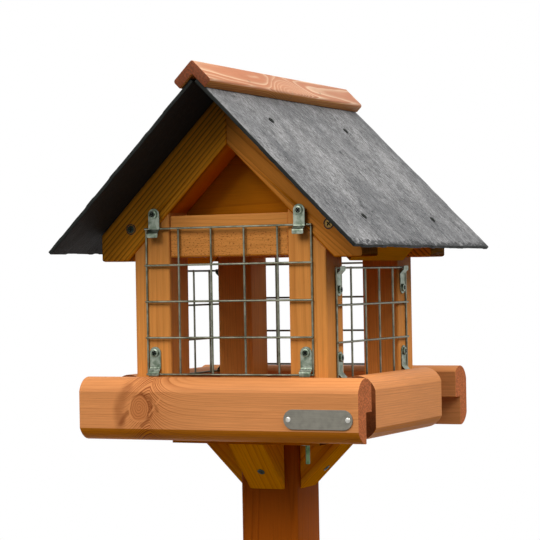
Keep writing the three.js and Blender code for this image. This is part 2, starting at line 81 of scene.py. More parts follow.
@dataclass(frozen=True)
class Sizes:
    """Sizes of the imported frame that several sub-assemblies share, in metres."""

    tray_top: float = 1.2
    half_width: float = 0.116
    half_depth: float = 0.123
    wall: float = 0.172
    stock: float = 0.044
    slate: float = 0.005
    cap: float = 0.011
    gap: float = 0.0002
    run_gap: float = 0.0003
    pitch: float = 0.04
    wire: float = 0.0023
    weld_sink: float = 0.0004

    def roof(self, x: float, above: float = 0.0) -> float:
        """Height, off the ridge by x, of a plane this far above the rafters' underside."""
        return self.tray_top + self.wall + self.half_width - x + above * math.sqrt(2)

    @property
    def upright_out(self) -> float:
        """Distance of the guards' uprights from the timber face."""
        return self.run_gap + self.wire / 2

    @property
    def cross_out(self) -> float:
        """Distance of the guards' cross wires from the timber face."""
        return self.upright_out + self.wire - self.weld_sink

    @property
    def guard_out(self) -> float:
        """Distance from the timber face to clear of all wires."""
        return self.cross_out + self.wire / 2 + self.run_gap

    @property
    def under_cap(self) -> float:
        """Distance of the cap's inner faces above the rafters' underside."""
        return self.stock + self.gap + self.slate + self.gap


SIZES = Sizes()


class Side(Enum):
    """The four sides of the table."""

    RIGHT = ("right", 0.0, False)
    BACK = ("back", 90.0, True)
    LEFT = ("left", 180.0, False)
    FRONT = ("front", -90.0, True)

    def __init__(self, label: str, degrees: float, gabled: bool) -> None:
        """Holds the side's name, its turn from +X and whether it has a gable."""
        self.label, self.turn, self.gabled = label, math.radians(degrees), gabled

    @property
    def face(self) -> float:
        """Distance of the corner posts' outer faces from the post's axis."""
        return SIZES.half_depth if self.gabled else SIZES.half_width

    def turned(self, direction: Sequence[float]) -> Vector:
        """Direction or point of a piece made facing +X, after its turn to this side."""
        return Matrix.Rotation(self.turn, 3, "Z") @ Vector(direction)


def only(obj: Object) -> None:
    """Makes one object the active and the only selected one."""
    bpy.ops.object.select_all(action="DESELECT")
    obj.select_set(True)
    bpy.context.view_layer.objects.active = obj


@contextmanager
def editing(obj: Object, kind: str = "FACE") -> Iterator[Picker]:
    """Edit mode on one object with nothing selected.

    Args:
        obj: the object to edit.
        kind: VERT, EDGE or FACE.

    Returns:
        An iterator that gives, once, a function that selects what passes a test of a face's
        centre and normal, of an edge's two ends or of a vertex's place.
    """
    only(obj)
    bpy.ops.object.mode_set(mode="EDIT")
    bpy.ops.mesh.select_mode(type=kind)
    bpy.ops.mesh.select_all(action="DESELECT")

    def pick(test: Callable[..., bool]) -> None:
        """Selects what passes a test.

        Args:
            test: the test of a face's, an edge's or a vertex's reading.
        """
        mesh = bmesh.from_edit_mesh(obj.data)
        parts, reading = {
            "FACE": (mesh.faces, lambda face: (face.calc_center_median(), face.normal)),
            "EDGE": (mesh.edges, lambda edge: (edge.verts[0].co, edge.verts[1].co)),
            "VERT": (mesh.verts, lambda vert: (vert.co,))}[kind]
        for part in parts:
            part.select_set(test(*reading(part)))
        bmesh.update_edit_mesh(obj.data)

    yield pick
    bpy.ops.object.mode_set(mode="OBJECT")


def settle(obj: Object) -> None:
    """Applies an object's place, turn and scale to its mesh."""
    only(obj)
    bpy.ops.object.transform_apply(location=True, rotation=True, scale=True)


def put(obj: Object, move: Sequence[float], turn: Triple = ORIGIN) -> None:
    """Turns a settled piece about the origin, moves it and settles it again."""
    obj.location, obj.rotation_euler = move, turn
    settle(obj)


def place(obj: Object, side: Side, local: Triple = ORIGIN) -> None:
    """Moves a piece made facing +X and turns it to its side of the table."""
    put(obj, side.turned(local), (0.0, 0.0, side.turn))


def extrude(move: Triple) -> None:
    """Extrudes the selected faces by a move."""
    bpy.ops.mesh.extrude_region_move(TRANSFORM_OT_translate={"value": move})


def step_in(width: float, move: Triple) -> None:
    """Insets the selected faces and moves what they leave."""
    bpy.ops.mesh.inset(thickness=width)
    bpy.ops.transform.translate(value=move)


def bisect(point: Triple, normal: Triple) -> None:
    """Cuts the mesh in edit mode by a plane and caps the cut.

    Args:
        point: a point of the plane.
        normal: its normal, towards the half that is dropped.
    """
    bpy.ops.mesh.select_all(action="SELECT")
    bpy.ops.mesh.bisect(plane_co=point, plane_no=normal, use_fill=True, clear_outer=True)
    bpy.ops.mesh.select_all(action="DESELECT")


def modify(obj: Object, kind: str, **settings: object) -> None:
    """Adds a modifier with its settings and applies it.

    Args:
        obj: the piece.
        kind: the modifier's type.
        settings: the modifier's properties by name.
    """
    modifier = obj.modifiers.new(kind.title(), kind)
    for key, value in settings.items():
        setattr(modifier, key, value)
    only(obj)
    bpy.ops.object.modifier_apply(modifier=modifier.name)


def ease(obj: Object, width: float, segments: int, angle: float) -> None:
    """Rounds the edges sharper than an angle in degrees."""
    modify(obj, "BEVEL", width=width, segments=segments, limit_method="ANGLE",
           angle_limit=math.radians(angle), use_clamp_overlap=True)


def round_edges(obj: Object, radius: float, segments: int,
                test: Callable[[Vector, Vector], bool]) -> None:
    """Rounds some edges.

    Args:
        obj: the piece.
        radius: how far the rounding reaches.
        segments: its steps.
        test: what the two ends of an edge have to pass.
    """
    with editing(obj, "EDGE") as pick:
        pick(test)
        bpy.ops.mesh.bevel(offset=radius, segments=segments, profile=0.5)


def smooth(obj: Object, degrees: float) -> None:
    """Shades smooth across edges flatter than an angle."""
    only(obj)
    bpy.ops.object.shade_smooth_by_angle(angle=math.radians(degrees))


def outwards(obj: Object) -> None:
    """Merges doubles and turns every face outwards.

    Args:
        obj: the piece.
    """
    with editing(obj):
        bpy.ops.mesh.select_all(action="SELECT")
        bpy.ops.mesh.remove_doubles(threshold=MERGE)
        bpy.ops.mesh.normals_make_consistent(inside=False)


def joined(pieces: Sequence[Object]) -> Object:
    """Joins several pieces.

    Args:
        pieces: the pieces, of which the first takes up the others.

    Returns:
        The first piece.
    """
    only(pieces[0])
    for piece in pieces:
        piece.select_set(True)
    bpy.ops.object.join()
    return pieces[0]


def copied(obj: Object) -> Object:
    """Copies an object with its mesh.

    Args:
        obj: the pattern.

    Returns:
        The copy, with a mesh of its own.
    """
    twin = obj.copy()
    twin.data = obj.data.copy()
    bpy.context.scene.collection.objects.link(twin)
    return twin


def dropped(*patterns: Object) -> None:
    """Removes pattern pieces once their copies are made."""
    for pattern in patterns:
        bpy.data.objects.remove(pattern, do_unlink=True)


def added(primitive: Callable[..., set], **settings: object) -> Object:
    """Adds a primitive.

    Args:
        primitive: its operator.
        settings: the operator's settings.

    Returns:
        The new object.
    """
    bpy.ops.object.select_all(action="DESELECT")
    primitive(**settings)
    return bpy.context.object


def block(size: Triple, centre: Triple) -> Object:
    """A settled cube primitive.

    Args:
        size: its extents.
        centre: its centre.

    Returns:
        The new object.
    """
    obj = added(bpy.ops.mesh.primitive_cube_add, size=1.0, location=centre, scale=size)
    settle(obj)
    return obj


def drum(radius: float, depth: float, centre: Triple, axis: str, sides: int) -> Object:
    """A settled cylinder primitive.

    Args:
        radius: its radius.
        depth: its length.
        centre: its centre.
        axis: x, y or z.
        sides: number of sides.

    Returns:
        The new object.
    """
    turns = {"x": (0.0, math.pi / 2, 0.0), "y": (math.pi / 2, 0.0, 0.0), "z": ORIGIN}
    obj = added(bpy.ops.mesh.primitive_cylinder_add, vertices=sides, radius=radius, depth=depth,
                location=centre, rotation=turns[axis])
    settle(obj)
    return obj


def box(node: str) -> tuple[Vector, Vector]:
    """Lower and upper corner of a node of the frame."""
    low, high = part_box(node)
    return Vector(low), Vector(high)


def paint(obj: Object, material: Material) -> None:
    """Gives a piece one material."""
    obj.data.materials.clear()
    obj.data.materials.append(material)


def hand_over(obj: Object, name: str, material: Material,
              nodes: Sequence[str] = (), body: str = MAIN_BODY) -> None:
    """Names and dresses a finished piece and hands it to the frame.

    Args:
        obj: the piece, in place.
        name: its name.
        material: its finish.
        nodes: the nodes that it stands for.
        body: the body that it moves with.
    """
    obj.name = obj.data.name = name
    paint(obj, material)
    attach(obj, body)
    if nodes:
        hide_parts(*nodes)
    LOG.info("%s: %d faces, on %s", name, len(obj.data.polygons), body)


def tint(red: int, green: int, blue: int) -> Colour:
    """Turns display values into a linear colour.

    Args:
        red: eight-bit red.
        green: eight-bit green.
        blue: eight-bit blue.

    Returns:
        The linear colour.
    """
    def straight(value: int) -> float:
        """One channel without the display curve."""
        share = value / 255
        return share / 12.92 if share <= 0.04045 else ((share + 0.055) / 1.055) ** 2.4
    return straight(red), straight(green), straight(blue), 1.0


def feed(tree: NodeTree, node: Node, key: int | str, value: object) -> None:
    """Sets or links one input of a node.

    Args:
        tree: the node's tree.
        node: the node.
        key: the input's name or index.
        value: a value, a socket or a signal.
    """
    value = value.socket if isinstance(value, Signal) else value
    if isinstance(value, NodeSocket):
        tree.links.new(value, node.inputs[key])
    else:
        node.inputs[key].default_value = value


def add_node(tree: NodeTree, kind: str, inputs: dict, **settings: object) -> Node:
    """Adds a node to a tree.

    Args:
        tree: the tree of a material or of the world.
        kind: the node's type.
        inputs: values, sockets or signals by input name or index.
        settings: the node's properties by name.

    Returns:
        The new node.
    """
    node = tree.nodes.new(kind)
    for key, value in settings.items():
        setattr(node, key, value)
    for key, value in inputs.items():
        feed(tree, node, key, value)
    return node


def mix(tree: NodeTree, factor: object, low: object, high: object, blend: str = "MIX") -> Signal:
    """Mix of two colours by a factor."""
    node = add_node(tree, "ShaderNodeMix", {0: factor, 6: low, 7: high}, data_type="RGBA",
                    blend_type=blend)
    return Signal(tree, node.outputs[2])


class Signal:
    """A socket whose operators and methods add nodes to its tree."""

    def __init__(self, tree: NodeTree, socket: NodeSocket, wide: bool = False) -> None:
        """Holds a socket, with wide True where it is a vector."""
        self.tree, self.socket, self.wide = tree, socket, wide

    def of(self, operation: str, *others: object) -> Signal:
        """Adds a Math node, or a Vector Math node where this is a vector.

        Args:
            operation: what the node does.
            others: its inputs after this one.

        Returns:
            The node's result.
        """
        number = not self.wide or operation in ("DOT_PRODUCT", "LENGTH")
        kind = "ShaderNodeVectorMath" if self.wide else "ShaderNodeMath"
        node = add_node(self.tree, kind, dict(enumerate((self, *others))), operation=operation)
        return Signal(self.tree, node.outputs["Value" if number else "Vector"], not number)

    def __add__(self, other: object) -> Signal:
        """Sum."""
        return self.of("ADD", other)

    def __sub__(self, other: object) -> Signal:
        """Difference."""
        return self.of("SUBTRACT", other)

    def __truediv__(self, other: object) -> Signal:
        """Quotient."""
        return self.of("DIVIDE", other)

    def __mul__(self, other: object) -> Signal:
        """Multiplies this, or scales it where it is a vector and the other a number.

        Args:
            other: a number, a signal or a fixed vector.

        Returns:
            The product.
        """
        if not self.wide or isinstance(other, tuple):
            return self.of("MULTIPLY", other)
        return self.stretch(self, other)

    def stretch(self, vector: object, factor: object) -> Signal:
        """A vector scaled by a factor."""
        node = add_node(self.tree, "ShaderNodeVectorMath", {0: vector, "Scale": factor},
                        operation="SCALE")
        return Signal(self.tree, node.outputs["Vector"], True)

    def along(self, direction: Sequence[float]) -> Signal:
        """A fixed direction times this number."""
        return self.stretch(tuple(direction), self)

    def dot(self, direction: Sequence[float]) -> Signal:
        """Reach of this vector in a direction."""
        return self.of("DOT_PRODUCT", tuple(direction))

    def length(self) -> Signal:
        """Length of this vector."""
        return self.of("LENGTH")

    def split(self) -> list[Signal]:
        """X, Y and Z of this vector."""
        node = add_node(self.tree, "ShaderNodeSeparateXYZ", {0: self})
        return [Signal(self.tree, socket) for socket in node.outputs]

    def mapped(self, turn: Sequence[float], start: Sequence[float] = ORIGIN) -> Signal:
        """This place turned and moved."""
        node = add_node(self.tree, "ShaderNodeMapping", {"Vector": self, "Location": start,
                                                         "Rotation": turn})
        return Signal(self.tree, node.outputs[0], True)

    def span(self, low: float, high: float, to_low: float = 0.0, to_high: float = 1.0) -> Signal:
        """Smooth step from one range to another.

        Args:
            low: value that gives to_low.
            high: value that gives to_high.
            to_low: result at low.
            to_high: result at high.

        Returns:
            The mapped value.
        """
        inputs = dict(enumerate((self, low, high, to_low, to_high)))
        node = add_node(self.tree, "ShaderNodeMapRange", inputs, interpolation_type="SMOOTHSTEP")
        return Signal(self.tree, node.outputs[0])

    def noise(self, cells: Triple, detail: float = 2.0, roughness: float = 0.5,
              swirl: float = 0.0, colour: bool = False) -> Signal:
        """Noise at this place.

        Args:
            cells: cells per metre along X, Y and Z.
            detail: octaves.
            roughness: strength of the finer octaves.
            swirl: distortion.
            colour: True for three channels.

        Returns:
            The factor, or the colour as a vector.
        """
        inputs = {"Vector": self * cells, "Scale": 1.0, "Detail": detail, "Roughness": roughness,
                  "Distortion": swirl}
        node = add_node(self.tree, "ShaderNodeTexNoise", inputs)
        return Signal(self.tree, node.outputs[1 if colour else 0], colour)

    def shiver(self, cells: float, detail: float, reach: Triple) -> Signal:
        """Small random offsets at this place, up to half of the reach on each axis."""
        return (self.noise((cells, cells, detail), colour=True) - (0.5, 0.5, 0.5)) * reach

    def wander(self, cells: float) -> Signal:
        """Noise along this number, in cells per metre."""
        node = add_node(self.tree, "ShaderNodeTexNoise",
                        {"W": self * cells, "Scale": 1.0, "Detail": 1.0}, noise_dimensions="1D")
        return Signal(self.tree, node.outputs[0])

    def ramp(self, stops: Sequence[tuple[float, float]]) -> Signal:
        """Grey ramp of this factor.

        Args:
            stops: pairs of place and grey value.

        Returns:
            The grey value.
        """
        node = add_node(self.tree, "ShaderNodeValToRGB", {0: self})
        elements = node.color_ramp.elements
        while len(elements) < len(stops):
            elements.new(0.5)
        for element, (spot, grey) in zip(elements, stops):
            element.position = spot
            element.color = (grey, grey, grey, 1.0)
        return Signal(self.tree, node.outputs[0])

    def between(self, low: object, high: object) -> Signal:
        """Mix of two colours by this factor."""
        return mix(self.tree, self, low, high)

    def toward(self, other: object, factor: object) -> Signal:
        """This colour mixed with another by a factor."""
        return mix(self.tree, factor, self, other)

    def shaded(self, other: object) -> Signal:
        """This colour times a grey value or a colour."""
        return mix(self.tree, 1.0, self, other, "MULTIPLY")


class Graph:
    """Node tree of one material, with its shader and the places that it reads."""

    def __init__(self, name: str) -> None:
        """Starts a material with its Principled shader.

        Args:
            name: the material's name.
        """
        self.material = bpy.data.materials.new(name)
        self.material.use_nodes = True
        self.tree = self.material.node_tree
        self.shader = self.tree.nodes["Principled BSDF"]
        outputs = add_node(self.tree, "ShaderNodeTexCoord", {}).outputs
        self.coords = Signal(self.tree, outputs["Object"], True)
        self.normal = Signal(self.tree, outputs["Normal"], True)

    def dress(self, colour: Signal, roughness: object, height: Signal, strength: float,
              distance: float, **constants: float) -> Material:
        """Connects the finish to the shader.

        Args:
            colour: base colour.
            roughness: value or signal.
            height: height for the bump.
            strength: strength of the bump.
            distance: height in metres that a step of 1 stands for.
            constants: shader inputs by name, with underscores for spaces.

        Returns:
            The material.
        """
        bump = add_node(self.tree, "ShaderNodeBump", {"Strength": strength, "Distance": distance,
                                                      "Height": height})
        inputs = {"Base Color": colour, "Roughness": roughness, "Normal": bump.outputs["Normal"]}
        inputs.update((key.replace("_", " "), value) for key, value in constants.items())
        for key, value in inputs.items():
            feed(self.tree, self.shader, key, value)
        return self.material


@dataclass(frozen=True)
class Stroke:
    """A mark on a board, seen square to one of its faces: a path in X and Z, darker or lighter."""

    path: tuple[tuple[float, float], ...]
    width: float
    strength: float
    bright: bool = False


@dataclass(frozen=True)
class Knot:
    """Foot of a branch in a board: its axis, the grain that it parts and the marks beside it."""

    centre: Triple
    axis: Triple
    radius: float
    part: float
    reach: float
    stretch: float
    whorl: float = 0.00125
    bulge: float = 0.0
    sweep: float = 0.0
    sweep_length: float = 0.016
    strokes: tuple[Stroke, ...] = ()


@dataclass(frozen=True)
class Eye:
    """What a knot does to its board: nearness, place about it, drawn rings and swelling."""

    knot: Knot
    halo: Signal
    away: Signal
    flare: Signal
    swelling: Signal


@dataclass(frozen=True)
class WoodFinish:
    """Stained softwood with growth rings about a heart that lies beside each board."""

    name: str
    light: Colour
    dark: Colour
    end: Colour
    ring: float = 0.0030
    contrast: float = 0.8
    roughness: float = 0.5
    relief: float = 0.3
    waviness: float = 0.007
    gloss: float = 0.12
    resin: Colour = tint(118, 52, 16)
    uneven: float = 1.0
    # Painted shade: colour that downward faces are multiplied by, so undersides come out darker and
    # more saturated.
    underside_shade: Colour = (0.92, 0.78, 0.08, 1.0)
    fibre_cells: Triple = (1500.0, 1500.0, 26.0)
    pore_cells: Triple = (2600.0, 2600.0, 190.0)
    patch_cells: Triple = (20.0, 20.0, 5.0)
    fuzz_cells: Triple = (520.0, 520.0, 520.0)
    late_share: float = 0.22
    bump_height: float = 0.0006

    def board(self, name: str, centre: Sequence[float], grain: Sequence[float],
              heart: Sequence[float], seed: float, lean: tuple[float, float] = (0.012, 0.006),
              knots: Sequence[Knot] = (), sawn_below: float | None = None) -> Material:
        """The finish on one board.

        Args:
            name: the board's name.
            centre: the board's centre.
            grain: direction of the fibres.
            heart: the tree's centre line from the board's centre.
            seed: shift along the grain, which gives each board its own pattern.
            lean: slopes of the heart against the board, which draw the long arches.
            knots: the board's knots.
            sawn_below: height under which the face is left rough from the saw.

        Returns:
            The material.
        """
        graph = Graph(f"{self.name}_{name}")
        along = Vector(grain).normalized()
        turn = along.rotation_difference(Vector(Z)).to_matrix()
        turn = Euler((*lean, 0.0)).to_matrix() @ turn
        start = -(turn @ (Vector(centre) + Vector(heart))) + Vector((0.0, 0.0, seed))
        parted, eyes = self.part_grain(graph, along, knots)
        spot = parted.mapped(turn.to_euler(), start)
        ring = self.rings(spot, [eye.swelling for eye in eyes])
        fibres = spot.noise(self.fibre_cells, 2.0, 0.6)
        pores = spot.noise(self.pore_cells, 1.0, 0.5)
        patches = spot.noise(self.patch_cells, 3.0, 0.6)
        depth = ring * patches.span(0.25, 0.75, self.contrast * 0.45, self.contrast)
        for eye in eyes:
            depth = depth * eye.halo.span(0.0, 1.0, 1.0, 0.3) + ring * (eye.flare * 1.5)
        colour = depth.of("MINIMUM", 1.0).between(self.light, self.dark)
        colour = colour.shaded(fibres.span(0.2, 0.8, 0.88, 1.07))
        colour = colour.shaded(pores.span(0.16, 0.36, 0.84, 1.0))
        colour = colour.shaded(patches.span(0.2, 0.8, 0.88, 1.08))
        for eye in eyes:
            colour = colour.toward(self.resin, ring * eye.flare * 0.85)
            colour = self.draw_knot(graph, colour, eye)
        ends = graph.normal.dot(along).of("ABSOLUTE").span(0.70, 0.92)
        fuzz = spot.noise(self.fuzz_cells, 2.0, 0.85)
        late_end = tuple(self.late_share * part for part in self.end[:3]) + (1.0,)
        late = ring * min(1.0, 0.65 * self.contrast ** 2)
        end_colour = late.between(self.end, late_end).shaded(fuzz.span(0.36, 0.64, 0.58, 1.30))
        colour = colour.toward(end_colour, ends * 0.88)
        level = graph.normal.dot(Z)
        # Painted shade: faces that look down are multiplied by the underside shade colour.
        colour = colour.toward(colour.shaded(self.underside_shade), level.span(-0.10, -0.60))
        height = ring * 0.4 + fibres * 0.7 + fuzz * ends * 1.6
        if sawn_below is not None:
            colour, height = self.sawn(graph, colour, height, sawn_below)
        rough = ring.span(0.0, 1.0, self.roughness + 0.06, self.roughness - 0.04) + ends * 0.2
        return graph.dress(colour, rough, height, self.relief, self.bump_height,
                           Specular_IOR_Level=self.gloss)

    def rings(self, spot: Signal, swelling: Sequence[Signal]) -> Signal:
        """Growth rings of uneven width about the heart.

        Args:
            spot: the place with Z along the fibres and the heart at X = Y = 0.
            swelling: what each knot adds to the distance from the heart.

        Returns:
            Depth of the late wood, from 0 to 1.
        """
        drift = spot.shiver(7.0, 2.2, (2.0 * self.waviness, 2.0 * self.waviness, 0.0))
        ripple = spot.shiver(70.0, 16.0, (0.14 * self.waviness, 0.14 * self.waviness, 0.0))
        radius = ((spot + drift + ripple) * (1.0, 1.0, 0.0)).length()
        for more in swelling:
            radius = radius + more
        count = radius / self.ring + radius.wander(95.0) * (2.2 * self.uneven)
        soft = count.of("FRACT").ramp(((0.0, 0.10), (0.10, 0.0), (0.50, 0.16), (0.78, 0.70),
                                       (0.90, 1.0), (1.0, 0.10)))
        return soft * radius.wander(420.0).span(0.25, 0.75, 1.0 - 0.55 * self.uneven, 1.0)

    def part_grain(self, graph: Graph, along: Vector, knots: Sequence[Knot]
                   ) -> tuple[Signal, list[Eye]]:
        """Leads the grain round the board's knots.

        Args:
            graph: the material's nodes.
            along: direction of the fibres.
            knots: the board's knots.

        Returns:
            The place with the grain parted, and what each knot does.
        """
        spot, eyes = graph.coords, []
        for knot in knots:
            axis = (Vector(knot.axis) - along * Vector(knot.axis).dot(along)).normalized()
            away = graph.coords - knot.centre
            away = away - away.dot(axis).along(axis)
            run = away.dot(along)
            beside = away - run.along(along)
            share = (beside + run.along(along / knot.stretch)).length() / knot.reach
            halo = (share.of("POWER", 2.0) * -1.0).of("EXPONENT")
            spot = spot + beside * (halo * -knot.part)
            ahead = (run - knot.radius).of("MAXIMUM", 0.0)
            flare = (ahead / -knot.sweep_length).of("EXPONENT")
            flare = flare * run.span(-1.9 * knot.radius, 1.1 * knot.radius)
            flare = flare * (1.0 if knot.sweep else 0.0)
            eyes.append(Eye(knot, halo, away, flare, halo * knot.bulge + flare * knot.sweep))
        return spot, eyes

    def draw_knot(self, graph: Graph, colour: Signal, eye: Eye) -> Signal:
        """Paints one knot with its own winding rings, its rim and the marks beside it.

        Args:
            graph: the material's nodes.
            colour: colour so far.
            eye: the knot and what it does.

        Returns:
            The new colour.
        """
        knot, radius = eye.knot, eye.knot.radius
        wobble = eye.away.noise((85.0, 85.0, 85.0), colour=True) - (0.5, 0.5, 0.5)
        wobble = wobble * (radius * 0.4)
        bent = (eye.away + wobble) * (1.05, 1.0, 0.95)
        reach = bent.length()
        across, _, upright = bent.split()
        turns = reach / knot.whorl + upright.of("ARCTAN2", across) / (2.0 * math.pi)
        whorl = turns.of("FRACT").ramp(((0.0, 0.0), (0.55, 0.35), (0.85, 1.0), (1.0, 0.0)))
        colour = colour.toward(self.dark, eye.halo * 0.15)
        for stroke in knot.strokes:
            colour = self.draw_stroke(graph, colour, stroke, wobble)
        core = mix(graph.tree, 0.45, self.light, self.dark).toward(self.resin, whorl * 0.55)
        colour = colour.toward(core, reach.span(radius * 1.03, radius * 0.95) * 0.92)
        rim = reach.span(radius * 0.90, radius) * reach.span(radius * 1.14, radius * 1.02)
        shaded = bent.dot((0.7, 0.0, 0.7)).span(-radius * 0.4, radius * 0.5)
        return colour.toward(shaded.between(self.light, self.resin), rim * 0.6)

    def draw_stroke(self, graph: Graph, colour: Signal, stroke: Stroke, wobble: Signal) -> Signal:
        """Paints one soft mark along its path.

        Args:
            graph: the material's nodes.
            colour: colour so far.
            stroke: the mark.
            wobble: a small offset that makes its edge uneven.

        Returns:
            The new colour.
        """
        upright, wavy_width = (1.0, 0.0, 1.0), 0.003
        flat = graph.coords * upright + wobble * min(1.0, stroke.width / wavy_width)
        flat = flat * upright
        nearest = None
        for (x, z), (next_x, next_z) in zip(stroke.path, stroke.path[1:]):
            step = Vector((next_x, 0.0, next_z)) - Vector((x, 0.0, z))
            away = flat - (x, 0.0, z)
            share = away.dot(step) / step.length_squared
            share = share.of("MAXIMUM", 0.0).of("MINIMUM", 1.0)
            gap = (away - share.along(step)).length()
            nearest = nearest.of("MINIMUM", gap) if nearest else gap
        mask = nearest.span(stroke.width, stroke.width * 0.1) * stroke.strength
        return colour.toward(self.light if stroke.bright else self.resin, mask)

    def sawn(self, graph: Graph, colour: Signal, height: Signal, below: float
             ) -> tuple[Signal, Signal]:
        """Adds the torn specks of a sawn face under a height.

        Args:
            graph: the material's nodes.
            colour: colour so far.
            height: bump height so far.
            below: the height of the planed band's lower edge.

        Returns:
            The new colour and bump height.
        """
        zone = graph.coords.split()[2].span(below + 0.001, below - 0.001)
        pits = graph.coords.noise((430.0, 430.0, 760.0), 1.0, 0.6).span(0.59, 0.67) * zone
        streaks = graph.coords.noise((60.0, 60.0, 700.0)).span(0.52, 0.66) * zone
        colour = colour.toward(self.dark, streaks * 0.3).toward(self.resin, pits * 0.75)
        return colour, height - pits * 1.5


@dataclass(frozen=True)
class SlateFinish:
    """Riven slate: crinkled streaks down the slope, flake edges, worn patches, dark ragged eave
    rims, and painted shade along its gable edges, on its side faces and underneath.
    """

    light: Colour = tint(150, 150, 151)
    dark: Colour = tint(106, 107, 109)
    # Painted shade: edge darkens the gable edges and the side faces, under darkens the underside.
    edge: Colour = tint(25, 28, 26)
    under: Colour = tint(8, 7, 6)
    seam: Colour = tint(34, 35, 36)
    speck: Colour = tint(196, 197, 198)

    def leaf(self, name: str, side: Side, eave: float, rims: tuple[float, float]) -> Material:
        """The finish on one slate.

        Args:
            name: the slate's name.
            side: the slope that it lies on, LEFT or RIGHT.
            eave: the slate's lower edge, measured down the slope from the origin's height.
            rims: places of its two gable edges along the ridge.

        Returns:
            The material.
        """
        graph = Graph(f"slate_{name}")
        sign = 1.0 if side is Side.RIGHT else -1.0
        flat = graph.coords.mapped((0.0, -sign * DIAGONAL, 0.0))
        down = graph.coords.dot((sign * 0.70711, 0.0, -0.70711))
        clouds = flat.noise((13.0, 17.0, 13.0), 4.0, 0.6, 0.6)
        waves = flat.noise((5.0, 34.0, 5.0), 2.0, 0.5, 1.4)
        crinkle = flat.noise((110.0, 380.0, 110.0), 4.0, 0.72, 0.9)
        sand = flat.noise((520.0, 760.0, 520.0), 2.0, 0.7)
        worn = flat.noise((11.0, 16.0, 11.0)).span(0.42, 0.62)
        scratches = flat.noise((90.0, 430.0, 90.0), 2.0, 0.55, 0.4).span(0.585, 0.63)
        scratches = scratches * worn.span(0.0, 1.0, 0.35, 1.0)
        flakes, steps = self.flakes(flat)
        ragged = flat.noise((150.0, 110.0, 150.0), 3.0, 0.65, 1.0)
        rim = (ragged + down.span(eave - 0.016, eave, 0.0, 0.32)).span(0.70, 0.74)
        bright = flat.noise((330.0, 560.0, 330.0), 1.0).span(0.68, 0.76) * worn
        colour = clouds.span(0.30, 0.72).between(self.dark, self.light)
        colour = colour.shaded(waves.span(0.25, 0.75, 0.88, 1.10))
        colour = colour.shaded(crinkle.span(0.32, 0.68, 0.50, 1.42))
        colour = colour.shaded(sand.span(0.25, 0.75, 0.72, 1.26))
        colour = colour.toward(self.speck, bright * 0.7)
        for groove, strength in ((scratches, 0.8), (flakes, 0.85), (rim, 0.8)):
            colour = colour.toward(self.seam, groove * strength)
        # Painted shade: a dark band along both gable edges.
        along = graph.coords.split()[1]
        for border, inwards in zip(rims, (1.0, -1.0)):
            gap = (along - border) * inwards
            colour = colour.toward(self.edge, gap.span(0.0028, 0.0008, 0.0, 0.75))
        # Painted shade: faces that do not look up take the edge colour, and faces that look down
        # take the under colour.
        up = graph.normal.dot((sign * 0.7071, 0.0, 0.7071))
        colour = up.span(0.84, 0.95).between(self.edge, colour)
        colour = colour.toward(self.under, up.span(-0.6, -0.9))
        height = crinkle * 1.3 + steps * 0.5 + sand * 0.25
        for groove, deep in ((scratches, 0.5), (flakes, 0.5), (rim, 1.2)):
            height = height - groove * deep
        return graph.dress(colour, clouds.span(0.2, 0.8, 0.55, 0.72), height, 0.5, 0.0008,
                           Specular_IOR_Level=0.15)

    def flakes(self, flat: Signal) -> tuple[Signal, Signal]:
        """Edges of the split layers.

        Args:
            flat: the place with X down the slope.

        Returns:
            A mask of the layers' edges, broken up, and the layers' level.
        """
        steps = flat.noise((12.0, 38.0, 12.0), 5.0, 0.66, 1.1) * 11.0
        part = steps.of("FRACT")
        here = flat.noise((22.0, 48.0, 22.0), 3.0, 0.6).span(0.46, 0.56)
        return part.span(0.16, 0.02) * here, steps.of("FLOOR") + part * 0.3


@dataclass(frozen=True)
class Recess:
    """The driver's recess of one screw, where shade is painted: a point just under the head's top,
    its axis and reach.
    """

    centre: Triple
    axis: Triple
    radius: float


@dataclass(frozen=True)
class MetalFinish:
    """Plated or galvanised metal with a mottled, slightly worn skin."""

    name: str
    light: Colour
    dark: Colour
    roughness: float
    metallic: float = 0.9
    mottle: float = 160.0
    brushed: Triple = ORIGIN
    thread: float = 0.0
    # Painted shade for screw recesses: its colour, and the heights about the recess point between
    # which it fades in.
    recess_shade: Colour = tint(8, 9, 6)
    recess_shade_top: float = 0.00008
    recess_shade_foot: float = -0.00004

    def skin(self, label: str = "", recess: Recess | None = None) -> Material:
        """The finish on one kind of piece.

        Args:
            label: what the piece is, for the material's name.
            recess: a screw's recess, darkened with painted shade.

        Returns:
            The material.
        """
        graph = Graph(f"{self.name}_{label}" if label else self.name)
        spots = graph.coords.noise((self.mottle,) * 3, 3.0, 0.6, 0.3)
        colour = spots.span(0.3, 0.7).between(self.dark, self.light)
        if any(self.brushed):
            height, strength = graph.coords.noise(self.brushed, 2.0, 0.6), 0.15
            colour = colour.shaded(height.span(0.25, 0.75, 0.90, 1.06))
        elif self.thread:
            turn = (graph.coords.split()[2] / self.thread).of("FRACT")
            height, strength = turn.of("PINGPONG", 0.5), 0.9
            colour = colour.shaded(height.span(0.0, 0.4, 0.55, 1.05))
        else:
            height, strength = graph.coords.noise((2200.0, 2200.0, 2200.0), 1.0), 0.08
        # Painted shade: inside the recess's radius and below its top, the colour goes almost to the
        # recess shade colour.
        if recess is not None:
            away = graph.coords - recess.centre
            rise = away.dot(recess.axis)
            reach = (away - rise.along(recess.axis)).length()
            sunk = rise.span(self.recess_shade_top, self.recess_shade_foot) * reach.of("LESS_THAN", recess.radius)
            colour = colour.toward(self.recess_shade, sunk * 0.96)
        rough = spots.span(0.2, 0.8, self.roughness - 0.06, self.roughness + 0.12)
        return graph.dress(colour, rough, height, strength, 0.0003, Metallic=self.metallic)


